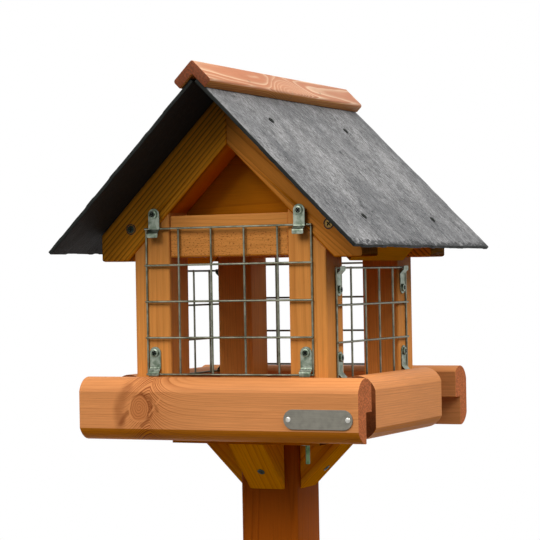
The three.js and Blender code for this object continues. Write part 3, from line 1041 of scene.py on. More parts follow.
RAIL_WOOD = WoodFinish("rail_wood", tint(224, 149, 90), tint(176, 97, 47), tint(192, 108, 66),
                       0.0027, 0.5, 0.46, 0.28, 0.004, 0.06, underside_shade=(0.88, 0.68, 0.0, 1.0))
POST_WOOD = WoodFinish("post_wood", tint(221, 147, 73), tint(172, 99, 40), tint(116, 60, 28),
                       0.0030, 0.5, 0.5, 0.25, gloss=0.06)
# Painted shade: the roof and quartered woods have more saturated, lower-blue bases than the rail
# wood, the tint that shade gives the rafters.
ROOF_WOOD = WoodFinish("roof_wood", tint(220, 140, 58), tint(158, 90, 28), tint(100, 50, 10),
                       0.0038, 1.0, 0.52, 0.3, 0.010, 0.0)
QUARTERED_WOOD = WoodFinish("quartered_wood", tint(240, 158, 42), tint(150, 88, 14),
                            tint(100, 50, 10), 0.0046, 1.3, 0.52, 0.9, 0.0016, 0.03, uneven=0.35)
PURLIN_WOOD = WoodFinish("purlin_wood", tint(255, 198, 110), tint(228, 150, 72),
                         tint(110, 56, 16), 0.0038, 0.7, 0.52, 0.3, gloss=0.0)
# Painted shade: a saturated, nearly blue-free base for the gable, which sits in the roof's shade.
GABLE_WOOD = WoodFinish("gable_wood", tint(186, 114, 14), tint(150, 84, 8), tint(100, 50, 8),
                        0.0042, 0.7, 0.52, 0.3, gloss=0.03)
# Painted light and shade: the brace wood's base is brighter to stand in for the light that the
# braces under the tray lack, and nearly blue-free for the tint of shade.
BRACE_WOOD = WoodFinish("brace_wood", tint(255, 176, 30), tint(208, 108, 8), tint(110, 54, 6),
                        0.0050, 1.1, 0.48, 0.2, 0.012, gloss=0.0)
CAP_WOOD = WoodFinish("cap_wood", tint(190, 124, 90), tint(232, 200, 166), tint(122, 58, 32),
                      0.0022, 1.2, 0.5, 0.3, 0.011, underside_shade=(0.98, 0.78, 0.32, 1.0))
# Darker timber, with painted shade in its saturated, low-blue base, the tint that shade gives the
# support post, bearers and foot braces.
GROUND_WOOD = WoodFinish("ground_wood", tint(176, 88, 18), tint(120, 54, 8), tint(84, 38, 8),
                         0.0034, 0.8, 0.46, 0.25, gloss=0.02)
SLATE = SlateFinish()
ZINC = MetalFinish("zinc", tint(150, 158, 144), tint(88, 102, 84), 0.34)
WIRE = MetalFinish("wire", tint(132, 134, 118), tint(88, 90, 74), 0.38, mottle=90.0)
BRONZED = MetalFinish("bronzed", tint(146, 116, 60), tint(84, 66, 38), 0.4, mottle=500.0)
DULLED = MetalFinish("dulled", tint(66, 72, 60), tint(30, 36, 30), 0.5, mottle=500.0)
BLACKENED = MetalFinish("blackened", tint(50, 54, 48), tint(20, 22, 20), 0.55, mottle=500.0)
BURR_WOOD = MetalFinish("burr_wood", tint(70, 44, 22), tint(30, 20, 12), 0.8, 0.0, 700.0)
BOLT_METAL = MetalFinish("bolt_zinc", tint(104, 130, 96), tint(60, 84, 54), 0.36, thread=0.001)
PLATE_METAL = MetalFinish("plate_metal", tint(130, 127, 116), tint(118, 115, 105), 0.42, 0.6,
                          brushed=(30.0, 30.0, 1400.0))
PIN_METAL = MetalFinish("pin_metal", tint(214, 212, 206), tint(170, 168, 160), 0.26)


@dataclass
class Studio:
    """Plain floor, soft light and the camera at the photograph's viewing angle."""

    camera_place: Triple = (0.99344, -2.09904, 1.34288)
    azimuth: float = 25.519
    elevation: float = -0.199
    roll: float = -1.012
    lens: float = 135.9
    floor_radius: float = 0.7
    sky: float = 1.0
    ground: float = 0.03
    sky_tint: Colour = (1.0, 0.985, 0.96, 1.0)
    lamp_tint: Triple = (1.0, 0.985, 0.965)
    aim: Triple = (0.0, 0.0, 1.3)

    def build(self) -> None:
        """Adds the camera, the world, the lamps and the floor."""
        self.add_camera()
        self.add_world()
        self.add_lamps()
        self.add_floor()

    def add_camera(self) -> None:
        """Places the camera by its azimuth, elevation and roll."""
        azimuth, elevation, roll = map(math.radians, (self.azimuth, self.elevation, self.roll))
        back = Vector((math.sin(azimuth) * math.cos(elevation),
                       -math.cos(azimuth) * math.cos(elevation), math.sin(elevation)))
        right = (-back).cross(Vector(Z)).normalized()
        upward = right.cross(-back)
        across = math.cos(roll) * right + math.sin(roll) * upward
        above = -math.sin(roll) * right + math.cos(roll) * upward
        data = bpy.data.cameras.new("camera")
        data.lens = self.lens
        data.sensor_fit = "HORIZONTAL"
        data.sensor_width = 36.0
        data.clip_start = 0.05
        camera = bpy.data.objects.new("camera", data)
        bpy.context.scene.collection.objects.link(camera)
        turn = Matrix((across, above, back)).transposed().to_4x4()
        camera.matrix_world = Matrix.Translation(self.camera_place) @ turn
        bpy.context.scene.camera = camera
        bpy.context.scene.view_settings.view_transform = "Standard"
        LOG.info("camera: lens %.1f mm", self.lens)

    def add_world(self) -> None:
        """White to the camera and in reflections, a soft sky from above to the rest."""
        world = bpy.data.worlds.new("studio")
        world.use_nodes = True
        bpy.context.scene.world = world
        tree = world.node_tree
        tree.nodes.clear()
        place_node = add_node(tree, "ShaderNodeTexCoord", {})
        level = Signal(tree, place_node.outputs["Generated"], True).split()[2]
        soft = add_node(tree, "ShaderNodeBackground", {
            "Color": self.sky_tint, "Strength": level.span(-0.12, 0.70, self.ground, self.sky)})
        white = add_node(tree, "ShaderNodeBackground", {"Color": WHITE})
        rays = add_node(tree, "ShaderNodeLightPath", {}).outputs
        seen = Signal(tree, rays["Is Camera Ray"])
        for kind in ("Is Glossy Ray", "Is Transmission Ray"):
            seen = seen.of("MAXIMUM", rays[kind])
        blend = add_node(tree, "ShaderNodeMixShader", {0: seen, 1: soft.outputs[0],
                                                       2: white.outputs[0]})
        add_node(tree, "ShaderNodeOutputWorld", {0: blend.outputs[0]})

    def add_lamps(self) -> None:
        """Two broad soft lamps, aimed at the feeding house."""
        for name, spot, size, power in (("key", (-0.7, -2.5, 3.6), 2.0, 68.0),
                                        ("side", (2.5, -0.7, 3.6), 2.0, 61.0)):
            data = bpy.data.lights.new(name, "AREA")
            data.shape, data.size, data.energy, data.color = "DISK", size, power, self.lamp_tint
            lamp = bpy.data.objects.new(name, data)
            bpy.context.scene.collection.objects.link(lamp)
            lamp.location = spot
            to_house = Vector(self.aim) - lamp.location
            lamp.rotation_euler = to_house.to_track_quat("-Z", "Y").to_euler()

    def add_floor(self) -> None:
        """A pale round floor under the foot."""
        thickness = 0.01
        floor = drum(self.floor_radius, thickness, (0.0, 0.0, -thickness / 2 - TOUCH), "z", 96)
        floor.name = "floor"
        graph = Graph("floor_paper")
        speck = graph.coords.noise((5.0, 5.0, 5.0))
        colour = speck.span(0.3, 0.7).between(tint(222, 221, 219), tint(228, 227, 225))
        floor.data.materials.append(graph.dress(colour, 0.9, speck, 0.02, 0.001))


@dataclass
class Timbers:
    """The straight timbers whose solids are right as they are, dressed board by board."""

    nodes: dict
    foot_radius: float = 0.0045
    planed_band: float = 0.019
    header_drop: float = 0.004

    def dress(self, node: str, finish: WoodFinish, grain: Sequence[float],
              heart: Sequence[float], seed: float, **more: object) -> None:
        """Gives one node its board material.

        Args:
            node: the node's name.
            finish: the wood.
            grain: direction of the fibres.
            heart: the tree's centre line from the board's centre.
            seed: the board's own shift.
            more: what else WoodFinish.board takes.
        """
        low, high = box(node)
        paint(self.nodes[node], finish.board(node, (low + high) / 2, grain, heart, seed, **more))
        LOG.info("%s: %s", node, finish.name)

    def build(self) -> None:
        """Dresses posts, roof timbers, tray, braces and foot."""
        self.dress_corners()
        for index, (fore, end) in enumerate(ENDS):
            top = SIZES.roof(SIZES.half_width - SIZES.stock) - self.header_drop
            self.dress(f"{end}_header", POST_WOOD, X, (0.0, fore * -0.05, -0.03), 15.0 + index,
                       sawn_below=top - self.planed_band)
            self.dress(f"{end}_gable", GABLE_WOOD, X, (0.0, fore * -0.08, -0.02), 18.0 + index)
        self.dress("left_purlin", PURLIN_WOOD, Y, (0.03, 0.0, -0.05), 21.0)
        self.dress("right_purlin", PURLIN_WOOD, Y, (0.03, 0.0, -0.05), 22.0)
        self.dress("tray_floor", POST_WOOD, X, (0.0, 0.02, -0.09), 25.0)
        self.dress("head_plate", BRACE_WOOD, X, (0.0, -0.02, -0.08), 27.0)
        self.dress("bearer_across", GROUND_WOOD, X, (0.0, 0.05, -0.03), 41.0)
        self.dress("bearer_fore_aft", GROUND_WOOD, Y, (0.05, 0.0, -0.03), 43.0)
        for index, side in enumerate(Side):
            self.dress(f"{side.label}_head_brace", BRACE_WOOD, side.turned((1.0, 0.0, 1.0)),
                       side.turned((0.02, 0.05, -0.02)), 30.0 + 1.9 * index)
            self.dress(f"{side.label}_foot_brace", GROUND_WOOD, side.turned((-1.0, 0.0, 1.0)),
                       side.turned((0.03, 0.05, 0.03)), 45.0 + 1.9 * index)

    def dress_corners(self) -> None:
        """Dresses the corner posts and the rafters, two of which are cut on the quarter."""
        hearts = {("front", "left"): (0.05, 0.06, 0.0), ("front", "right"): (-0.03, 0.07, 0.0),
                  ("back", "left"): (0.06, -0.03, 0.0), ("back", "right"): (-0.06, -0.05, 0.0)}
        for index, ((end, side), heart) in enumerate(hearts.items()):
            sign = 1.0 if side == "right" else -1.0
            inward = 1.0 if end == "front" else -1.0
            self.dress(f"{end}_{side}_post", POST_WOOD, Z, heart, 1.3 * index, lean=(0.006, 0.010))
            finish, heart, lean = ROOF_WOOD, (sign * 0.012, inward * 0.045, 0.012), (0.014, 0.030)
            if sign * inward < 0.0:
                finish, heart, lean = QUARTERED_WOOD, (sign * -0.085, 0.004, -0.085), (0.004, 0.004)
            self.dress(f"{end}_{side}_rafter", finish, (sign, 0.0, -1.0), heart,
                       7.0 + 1.7 * index, lean=lean)
            self.ease_foot(end, side, sign)

    def ease_foot(self, end: str, side: str, sign: float) -> None:
        """Sets a copy of a rafter whose foot is sanded round at its lower outer corner.

        Args:
            end: "front" or "back".
            side: "left" or "right".
            sign: 1 on the right, -1 on the left.
        """
        node = f"{end}_{side}_rafter"
        low, high = box(node)
        outer = max(high.x, -low.x)
        rafter = copied(self.nodes[node])
        settle(rafter)
        with editing(rafter):
            bpy.ops.mesh.select_all(action="SELECT")
            bpy.ops.mesh.remove_doubles(threshold=MERGE)
            for angle in map(math.radians, (22.5, 45.0, 67.5)):
                x, z = math.cos(angle), -math.sin(angle)
                bisect((sign * (outer - self.foot_radius * (1.0 - x)), 0.0,
                        low.z + self.foot_radius * (1.0 + z)), (sign * x, 0.0, z))
        smooth(rafter, 30.0)
        hand_over(rafter, f"rafter_{end}_{side}", self.nodes[node].data.materials[0],
                  (node,))


@dataclass
class SupportPost:
    """The square post with its rounded arrises."""

    section: float = 0.069
    arris: float = 0.007

    def build(self) -> None:
        """Models the post and dresses it."""
        low, high = box("support_post")
        post = block((self.section, self.section, high.z - low.z), (0.0, 0.0, (low.z + high.z) / 2))
        round_edges(post, self.arris, 6, lambda a, b: abs(a.z - b.z) > self.section)
        smooth(post, 30.0)
        material = GROUND_WOOD.board("support_post", (0.0, 0.0, 0.9), Z, (0.012, 0.050, 0.0), 3.1,
                                     lean=(0.008, 0.012))
        hand_over(post, "post_shaft", material, ("support_post",))


@dataclass
class Rails:
    """The four tray rails: arched top, flat face, rounded underside and a rebate."""

    thickness: float = 0.036
    rebate: float = 0.015
    upstand: float = 0.036
    crown: float = 0.0155
    face: float = 0.040
    belly: float = 0.0135
    belly_end: float = 84.0
    belly_steps: int = 9
    setback: float = 0.0206
    front_length: float = 0.334
    side_length: float = 0.197
    front_margin: float = 0.0034
    side_margin: float = 0.008
    arris: float = 0.0007
    shaded_end: Colour = tint(98, 44, 18)

    def build(self) -> None:
        """Models and dresses the rail of every side."""
        hearts = {Side.FRONT: (-0.030, 0.0, -0.120), Side.RIGHT: (0.020, 0.0, -0.110),
                  Side.BACK: (0.060, 0.0, -0.05), Side.LEFT: (0.045, 0.0, 0.06)}
        for index, side in enumerate(Side):
            finish, length, margin = RAIL_WOOD, self.front_length, self.front_margin
            if not side.gabled:
                finish = replace(RAIL_WOOD, end=self.shaded_end)
                length, margin = self.side_length, self.side_margin
            rail = self.shape(length, side.face + margin)
            place(rail, side)
            node = f"{side.label}_rail"
            low, high = box(node)
            material = finish.board(node, (low + high) / 2, side.turned(Y),
                                    side.turned(hearts[side]), 50.0 + 2.3 * index,
                                    lean=(0.006, 0.008), knots=self.knots(side))
            hand_over(rail, f"rail_{side.label}", material, (node,))

    def knots(self, side: Side) -> tuple[Knot, ...]:
        """The knots of a rail.

        Args:
            side: the rail's side.

        Returns:
            The one knot of the front rail with the marks beside it, or none.
        """
        if side is not Side.FRONT:
            return ()
        strokes = (
            Stroke(((-0.1058, 1.2245), (-0.1125, 1.2137), (-0.1173, 1.2012), (-0.1149, 1.1850)),
                   0.0100, 0.42),
            Stroke(((-0.1056, 1.1985), (-0.1105, 1.1940), (-0.1140, 1.1860)), 0.0050, 0.55),
            Stroke(((-0.0890, 1.2182), (-0.0785, 1.2140), (-0.0756, 1.2037)), 0.0042, 0.50),
            Stroke(((-0.0756, 1.2037), (-0.0795, 1.1925), (-0.0880, 1.1840)), 0.0034, 0.50),
            Stroke(((-0.0661, 1.2133), (-0.0723, 1.2046), (-0.0790, 1.1955)), 0.0018, 0.70, True),
            Stroke(((-0.0712, 1.2060), (-0.0690, 1.2005)), 0.0026, 0.45),
            Stroke(((-0.0752, 1.1985), (-0.0770, 1.1945)), 0.0024, 0.50),
        )
        return (Knot((-0.0914, -0.162, 1.2033), (0.0, 0.94, 0.34), 0.0128, 0.0, 0.020, 1.3, 0.0026,
                     sweep=-0.022, strokes=strokes),)

    def shape(self, length: float, inner: float) -> Object:
        """A rail with its outer face towards +X.

        Args:
            length: its length along Y.
            inner: place of its inner face.

        Returns:
            The new object.
        """
        shoulder = SIZES.tray_top + SIZES.gap
        top = SIZES.tray_top + self.upstand
        outer = inner + self.thickness
        face_top = top - self.crown
        face_foot = face_top - self.face
        radius = (self.setback ** 2 + self.crown ** 2) / (2 * self.crown)
        lower = self.thickness - self.rebate
        rail = drum(radius, length, (outer - self.setback, 0.0, top - radius), "y", 120)
        with editing(rail) as pick:
            bisect((inner, 0.0, 0.0), (-1.0, 0.0, 0.0))
            bisect((0.0, 0.0, face_top), (0.0, 0.0, -1.0))
            pick(lambda c, n: n.z < -FACING)
            extrude((0.0, 0.0, shoulder - face_top))
            extrude(ORIGIN)
            bpy.ops.transform.resize(value=(lower / self.thickness, 1.0, 1.0),
                                     center_override=(outer, 0.0, shoulder))
            extrude((0.0, 0.0, face_foot - shoulder))
            self.round_belly(outer - lower, lower, face_foot)
        outwards(rail)
        ease(rail, self.arris, 2, 55.0)
        smooth(rail, 14.0)
        return rail

    def round_belly(self, back: float, width: float, foot: float) -> None:
        """Rounds the underside in steps from the flat face's foot, its lowest faces selected.

        Args:
            back: place of the lower part's inner face.
            width: the lower part's width.
            foot: height of the flat face's foot.
        """
        radius = (width ** 2 + self.belly ** 2) / (2 * self.belly)
        centre = foot - self.belly + radius
        first = math.acos(width / radius)
        before, level = width, foot
        for step in range(1, self.belly_steps + 1):
            angle = first + (math.radians(self.belly_end) - first) * step / self.belly_steps
            now = radius * math.cos(angle)
            height = centre - radius * math.sin(angle)
            extrude((0.0, 0.0, height - level))
            bpy.ops.transform.resize(value=(now / before, 1.0, 1.0),
                                     center_override=(back, 0.0, height))
            before, level = now, height


@dataclass
class Slates:
    """Two riven slates with knocked-off edges, each held by four screws."""

    width: float = 0.405
    fall: float = 0.254
    back: float = 0.0048
    inset: float = 0.0006
    arris: float = 0.0009
    grain: float = 0.035
    relief: float = 0.0011
    chips: int = 46
    eave_share: float = 0.45
    chip_size: tuple[float, float] = (0.004, 0.016)
    chip_depth: tuple[float, float] = (0.0003, 0.0013)
    chip_start: float = 0.04
    screw_rows: tuple[float, float] = (0.045, 0.152)
    screw_line: float = 0.1014

    def build(self) -> None:
        """Models, places and dresses both slates."""
        apex = SIZES.roof(SIZES.gap, SIZES.stock + SIZES.gap)
        eave = self.fall - apex / math.sqrt(2)
        rims = (self.back - self.width / 2, self.back + self.width / 2)
        for seed, side in ((3, Side.RIGHT), (8, Side.LEFT)):
            slate = self.shape(seed)
            put(slate, (SIZES.gap, 0.0, apex), (0.0, DIAGONAL, 0.0))
            if side is Side.LEFT:
                place(slate, side)
            put(slate, (0.0, self.back, 0.0))
            hand_over(slate, f"leaf_{side.label}", SLATE.leaf(side.label, side, eave, rims),
                      (f"{side.label}_slate",))

    def shape(self, seed: int) -> Object:
        """A slate along +X from the ridge, lying on z = 0, with an edge of its own.

        Args:
            seed: gives each slate its own edge.

        Returns:
            The new object.
        """
        slate = added(bpy.ops.mesh.primitive_grid_add, x_subdivisions=72, y_subdivisions=112,
                      size=1.0)
        slate.scale = (self.fall - 2 * self.inset, self.width - 2 * self.inset, 1.0)
        put(slate, (self.fall / 2, 0.0, 0.0))
        chance = random.Random(seed)
        with editing(slate, "VERT") as pick:
            for _ in range(self.chips):
                self.chip(slate, pick, chance)
        modify(slate, "SOLIDIFY", thickness=SIZES.slate * 0.86, offset=1.0)
        texture = bpy.data.textures.new(f"riven_{seed}", "CLOUDS")
        texture.noise_scale = self.grain
        texture.noise_depth = 4
        put(slate, (0.0, 0.0, SIZES.slate * 0.07))
        modify(slate, "DISPLACE", texture=texture, strength=self.relief, mid_level=0.5,
               direction="Z", texture_coords="LOCAL")
        ease(slate, self.arris, 2, 60.0)
        smooth(slate, 40.0)
        return slate

    def chip(self, slate: Object, pick: Picker, chance: random.Random) -> None:
        """Nibbles the eave or a gable edge at a random place.

        Args:
            slate: the slate in edit mode.
            pick: selects points.
            chance: the slate's own random numbers.
        """
        half, end = self.width / 2 - self.inset, self.fall - self.inset
        along_eave = chance.random() < self.eave_share
        size = chance.uniform(*self.chip_size)
        deep = chance.uniform(*self.chip_depth)
        if along_eave:
            spot = chance.uniform(-half, half)
            pick(lambda p: p.x > end - TOUCH and abs(p.y - spot) < size)
            move = (-deep, 0.0, 0.0)
        else:
            spot = chance.uniform(self.chip_start, self.fall)
            side = chance.choice((-1.0, 1.0))
            pick(lambda p: p.y * side > half - TOUCH and abs(p.x - spot) < size)
            move = (0.0, -side * deep, 0.0)
        if slate.data.total_vert_sel:
            bpy.ops.transform.translate(value=move)


@dataclass
class RidgeCap:
    """V-shaped timber cap over the ridge."""

    limb: float = 0.032
    spare: float = 0.02
    length: float = 0.407
    back: float = 0.0029
    nose: float = 0.0030
    arris: float = 0.0008

    def build(self) -> None:
        """Models one limb, mirrors it and dresses the cap."""
        apex = SIZES.roof(0.0, SIZES.under_cap + SIZES.cap)
        cap = block((self.limb + self.spare, self.length, SIZES.cap),
                    ((self.limb - self.spare) / 2, 0.0, -SIZES.cap / 2))
        put(cap, (0.0, 0.0, apex), (0.0, DIAGONAL, 0.0))
        with editing(cap) as pick:
            bisect(ORIGIN, (-1.0, 0.0, 0.0))
            pick(lambda c, n: n.x < -FACING)
            bpy.ops.mesh.delete(type="FACE")
        modify(cap, "MIRROR", use_axis=(True, False, False), use_clip=True, merge_threshold=TOUCH)
        outwards(cap)
        inner = SIZES.roof(0.0, SIZES.under_cap)
        foot = self.limb / math.sqrt(2)

        def rounded(a: Vector, b: Vector) -> bool:
            """True for the ridge's outer edge and the outer edges of both feet."""
            runs = abs(a.y - b.y) > self.length / 2
            ridge = abs(a.x) < 0.001 and a.z > inner + 0.004
            return runs and (ridge or abs(abs(a.x) - foot) < 0.0005)

        round_edges(cap, self.nose, 5, rounded)
        ease(cap, self.arris, 2, 70.0)
        put(cap, (0.0, self.back, 0.0))
        smooth(cap, 30.0)
        pin_knot = Knot((0.0215, 0.0060, 1.5525), (0.707, 0.0, 0.707), 0.0024, 0.3, 0.022, 1.7,
                        bulge=0.015)
        material = CAP_WOOD.board("ridge_cap", (0.0, 0.0, apex), Y, (-0.018, 0.0, -0.040), 61.0,
                                  lean=(0.012, -0.030), knots=(pin_knot,))
        hand_over(cap, "cap_of_ridge", material, ("ridge_cap",))


@dataclass
class Guards:
    """The four welded wire guards, their weld nuggets and clipped ends."""

    columns: int = 5
    end_rows: int = 4
    side_rows: int = 3
    end_foot: float = 1.238
    side_foot: float = 1.2315
    wire_end: float = 0.0014
    drift: float = 0.0002
    nipped: float = 0.0003
    nugget: float = 0.00145
    nugget_squash: float = 0.62

    def rows(self, side: Side) -> int:
        """Cells in height on a side."""
        return self.end_rows if side.gabled else self.side_rows

    def foot(self, side: Side) -> float:
        """Height of the lowest wire on a side."""
        return self.end_foot if side.gabled else self.side_foot

    @property
    def half(self) -> float:
        """Half of a guard's width."""
        return self.columns * SIZES.pitch / 2

    def build(self) -> None:
        """Models and dresses the guard of every side."""
        for seed, side in enumerate(Side):
            guard = self.shape(side, random.Random(seed))
            place(guard, side)
            hand_over(guard, f"mesh_{side.label}", WIRE.skin(side.label),
                      (f"{side.label}_guard",))

    def wire_between(self, centre: Triple, length: float, axis: str) -> Object:
        """One straight wire with nipped ends.

        Args:
            centre: its middle.
            length: its length.
            axis: y or z.

        Returns:
            The new object.
        """
        wire = drum(SIZES.wire / 2, length, centre, axis, 12)
        ease(wire, self.nipped, 1, 60.0)
        return wire

    def shape(self, side: Side, chance: random.Random) -> Object:
        """A guard facing +X, uprights inside and cross wires outside.

        Args:
            side: the side that it is for.
            chance: small errors in the wires' places.

        Returns:
            The new object.
        """
        rows, foot = self.rows(side), self.foot(side)
        height = rows * SIZES.pitch
        pieces = []
        for index in range(self.columns + 1):
            shift = chance.uniform(-self.drift, self.drift)
            centre = (side.face + SIZES.upright_out, index * SIZES.pitch - self.half + shift,
                      foot + height / 2)
            pieces.append(self.wire_between(centre, height + 2 * self.wire_end, "z"))
        for index in range(rows + 1):
            shift = chance.uniform(-self.drift, self.drift)
            centre = (side.face + SIZES.cross_out, 0.0, foot + index * SIZES.pitch + shift)
            pieces.append(self.wire_between(centre, 2 * (self.half + self.wire_end), "y"))
        guard = joined(pieces + self.nuggets(side))
        smooth(guard, 40.0)
        return guard

    def nuggets(self, side: Side) -> list[Object]:
        """The squeezed metal at every weld.

        Args:
            side: the guard's side.

        Returns:
            One small squashed sphere for each weld.
        """
        pattern = added(bpy.ops.mesh.primitive_uv_sphere_add, segments=8, ring_count=5,
                        radius=self.nugget)
        with editing(pattern, "VERT"):
            bpy.ops.mesh.select_all(action="SELECT")
            bpy.ops.transform.resize(value=(self.nugget_squash, 1.0, 1.0))
        between = side.face + (SIZES.upright_out + SIZES.cross_out) / 2
        nuggets = []
        for column in range(self.columns + 1):
            for row in range(self.rows(side) + 1):
                nugget = copied(pattern)
                put(nugget, (between, column * SIZES.pitch - self.half,
                             self.foot(side) + row * SIZES.pitch))
                nuggets.append(nugget)
        dropped(pattern)
        return nuggets


class ClipSeat(Enum):
    """Where a clip sits on its guard."""

    TOP_LEFT = ("top_left", -1.0, True)
    TOP_RIGHT = ("top_right", 1.0, True)
    BOTTOM_LEFT = ("bottom_left", -1.0, False)
    BOTTOM_RIGHT = ("bottom_right", 1.0, False)

    def __init__(self, label: str, sign: float, upper: bool) -> None:
        """Holds the seat's name, -1 or 1 for the guard's left or right, and if it is its top."""
        self.label, self.sign, self.upper = label, sign, upper


@dataclass
class Clips:
    """The sixteen turning clips, each a stepped strip on one pan-head screw."""

    width: float = 0.0136
    thickness: float = 0.0012
    reach: float = 0.0234
    lip_past: float = 0.002
    inset: float = 0.0086
    gable_inset: float = 0.012
    gable_reach: float = 0.0157
    fold: float = 0.0007
    lip_corner: float = 0.0016
    arris: float = 0.00022
    head: float = 0.0088
    head_height: float = 0.0022
    shank: float = 0.0036
    grip: float = 0.012
    recess_deep: float = 0.0014
    rim_share: float = 1.15
    recess_share: float = 0.33
    guards: Guards = field(default_factory=Guards)

    def build(self) -> None:
        """Models one clip and one screw and sets a pair at every seat."""
        strip, screw = self.strip(), self.pan_screw()
        for side in Side:
            for seat in ClipSeat:
                self.set_clip(strip, screw, side, seat)
        dropped(strip, screw)

    def strip(self) -> Object:
        """The stepped strip facing +X, its screw's axis along X through the origin.

        Returns:
            The new object.
        """
        half = self.width / 2
        rise = SIZES.guard_out - SIZES.gap
        step_end = math.sqrt((self.reach - SIZES.wire / 2 - SIZES.run_gap) ** 2 - half ** 2)
        step_start = step_end - rise
        tail = self.reach + self.lip_past
        strip = drum(half, self.thickness, (self.thickness / 2, 0.0, 0.0), "x", 64)
        with editing(strip) as pick:
            bisect((0.0, 0.0, -MERGE), (0.0, 0.0, -1.0))
            pick(lambda c, n: n.z < -FACING)
            extrude((0.0, 0.0, -step_start))
            extrude((rise, 0.0, step_start - step_end))
            extrude((0.0, 0.0, step_end - tail))
        outwards(strip)
        round_edges(strip, self.fold, 3, lambda a, b: abs(a.y - b.y) > half and (
            abs(a.z + step_start) < 0.0005 or abs(a.z + step_end) < 0.0005))
        round_edges(strip, self.lip_corner, 3, lambda a, b: (
            abs(a.x - b.x) > self.thickness * 0.75 and max(a.z, b.z) < TOUCH - tail))
        ease(strip, self.arris, 1, 60.0)
        smooth(strip, 35.0)
        return strip

    def pan_screw(self) -> Object:
        """A pan-head screw along +X with a cross recess, its head's seat at x = 0.

        Returns:
            The new object.
        """
        height = self.head_height
        top = drum(self.head / 2, height, (height / 2 - SIZES.run_gap, 0.0, 0.0), "x", 32)
        with editing(top) as pick:
            pick(lambda c, n: n.x > FACING)
            step_in(self.head * 0.13, (height * 0.22, 0.0, 0.0))
            step_in(self.head * 0.12, (height * 0.07, 0.0, 0.0))
        cut_cross(top, self.head * 0.66, height * 1.02, self.recess_deep)
        screw = joined((top, drum(self.shank / 2, self.grip, (-self.grip / 2, 0.0, 0.0), "x", 16)))
        smooth(screw, 50.0)
        return screw

    def set_clip(self, strip: Object, screw: Object, side: Side, seat: ClipSeat) -> None:
        """Copies the pattern pieces to one seat.

        Args:
            strip: the pattern strip.
            screw: the pattern screw.
            side: the side of the table.
            seat: the seat on that side's guard.
        """
        stands_off = side.gabled and seat.upper
        offset = self.guards.half - (self.gable_inset if stands_off else self.inset)
        level = self.guards.foot(side) + self.reach
        if seat.upper:
            top = self.guards.foot(side) + self.guards.rows(side) * SIZES.pitch
            level = top + (self.gable_reach if side.gabled else -self.reach)
        tab = SIZES.guard_out if stands_off else SIZES.gap
        clip, fixing = copied(strip), copied(screw)
        put(clip, (tab, 0.0, 0.0))
        spin = math.radians(31.0 * seat.sign + 57.0 * len(side.label))
        put(fixing, (tab + self.thickness, 0.0, 0.0), (spin, 0.0, 0.0))
        clip = joined((clip, fixing))
        if seat.upper and not side.gabled:
            put(clip, ORIGIN, (math.pi, 0.0, 0.0))
        place(clip, side, (side.face, seat.sign * offset, level))
        node = f"{side.label}_{seat.label}_clip"
        rim = side.face + tab + self.thickness + self.head_height * self.rim_share
        recess = Recess(tuple(side.turned((rim, seat.sign * offset, level))),
                        tuple(side.turned(X)), self.head * self.recess_share)
        hand_over(clip, f"turn_{node}", ZINC.skin(node, recess), (node,), node)


def cut_cross(head: Object, span: float, face: float, deep: float) -> None:
    """Cuts a cross recess with four rays into a head that faces +X.

    Args:
        head: the head.
        span: length of the cross.
        face: place of the head's top.
        deep: depth of the cut.
    """
    clear = 0.001
    middle = (face + (clear - deep) / 2, 0.0, 0.0)
    bar = span * 0.27
    for size in ((deep + clear, span, bar), (deep + clear, bar, span)):
        cutter = block(size, middle)
        with editing(cutter) as pick:
            pick(lambda c, n: n.x < -FACING)
            bpy.ops.transform.resize(value=(1.0, 0.8, 0.8))
        modify(head, "BOOLEAN", object=cutter, operation="DIFFERENCE", solver="EXACT")
        dropped(cutter)


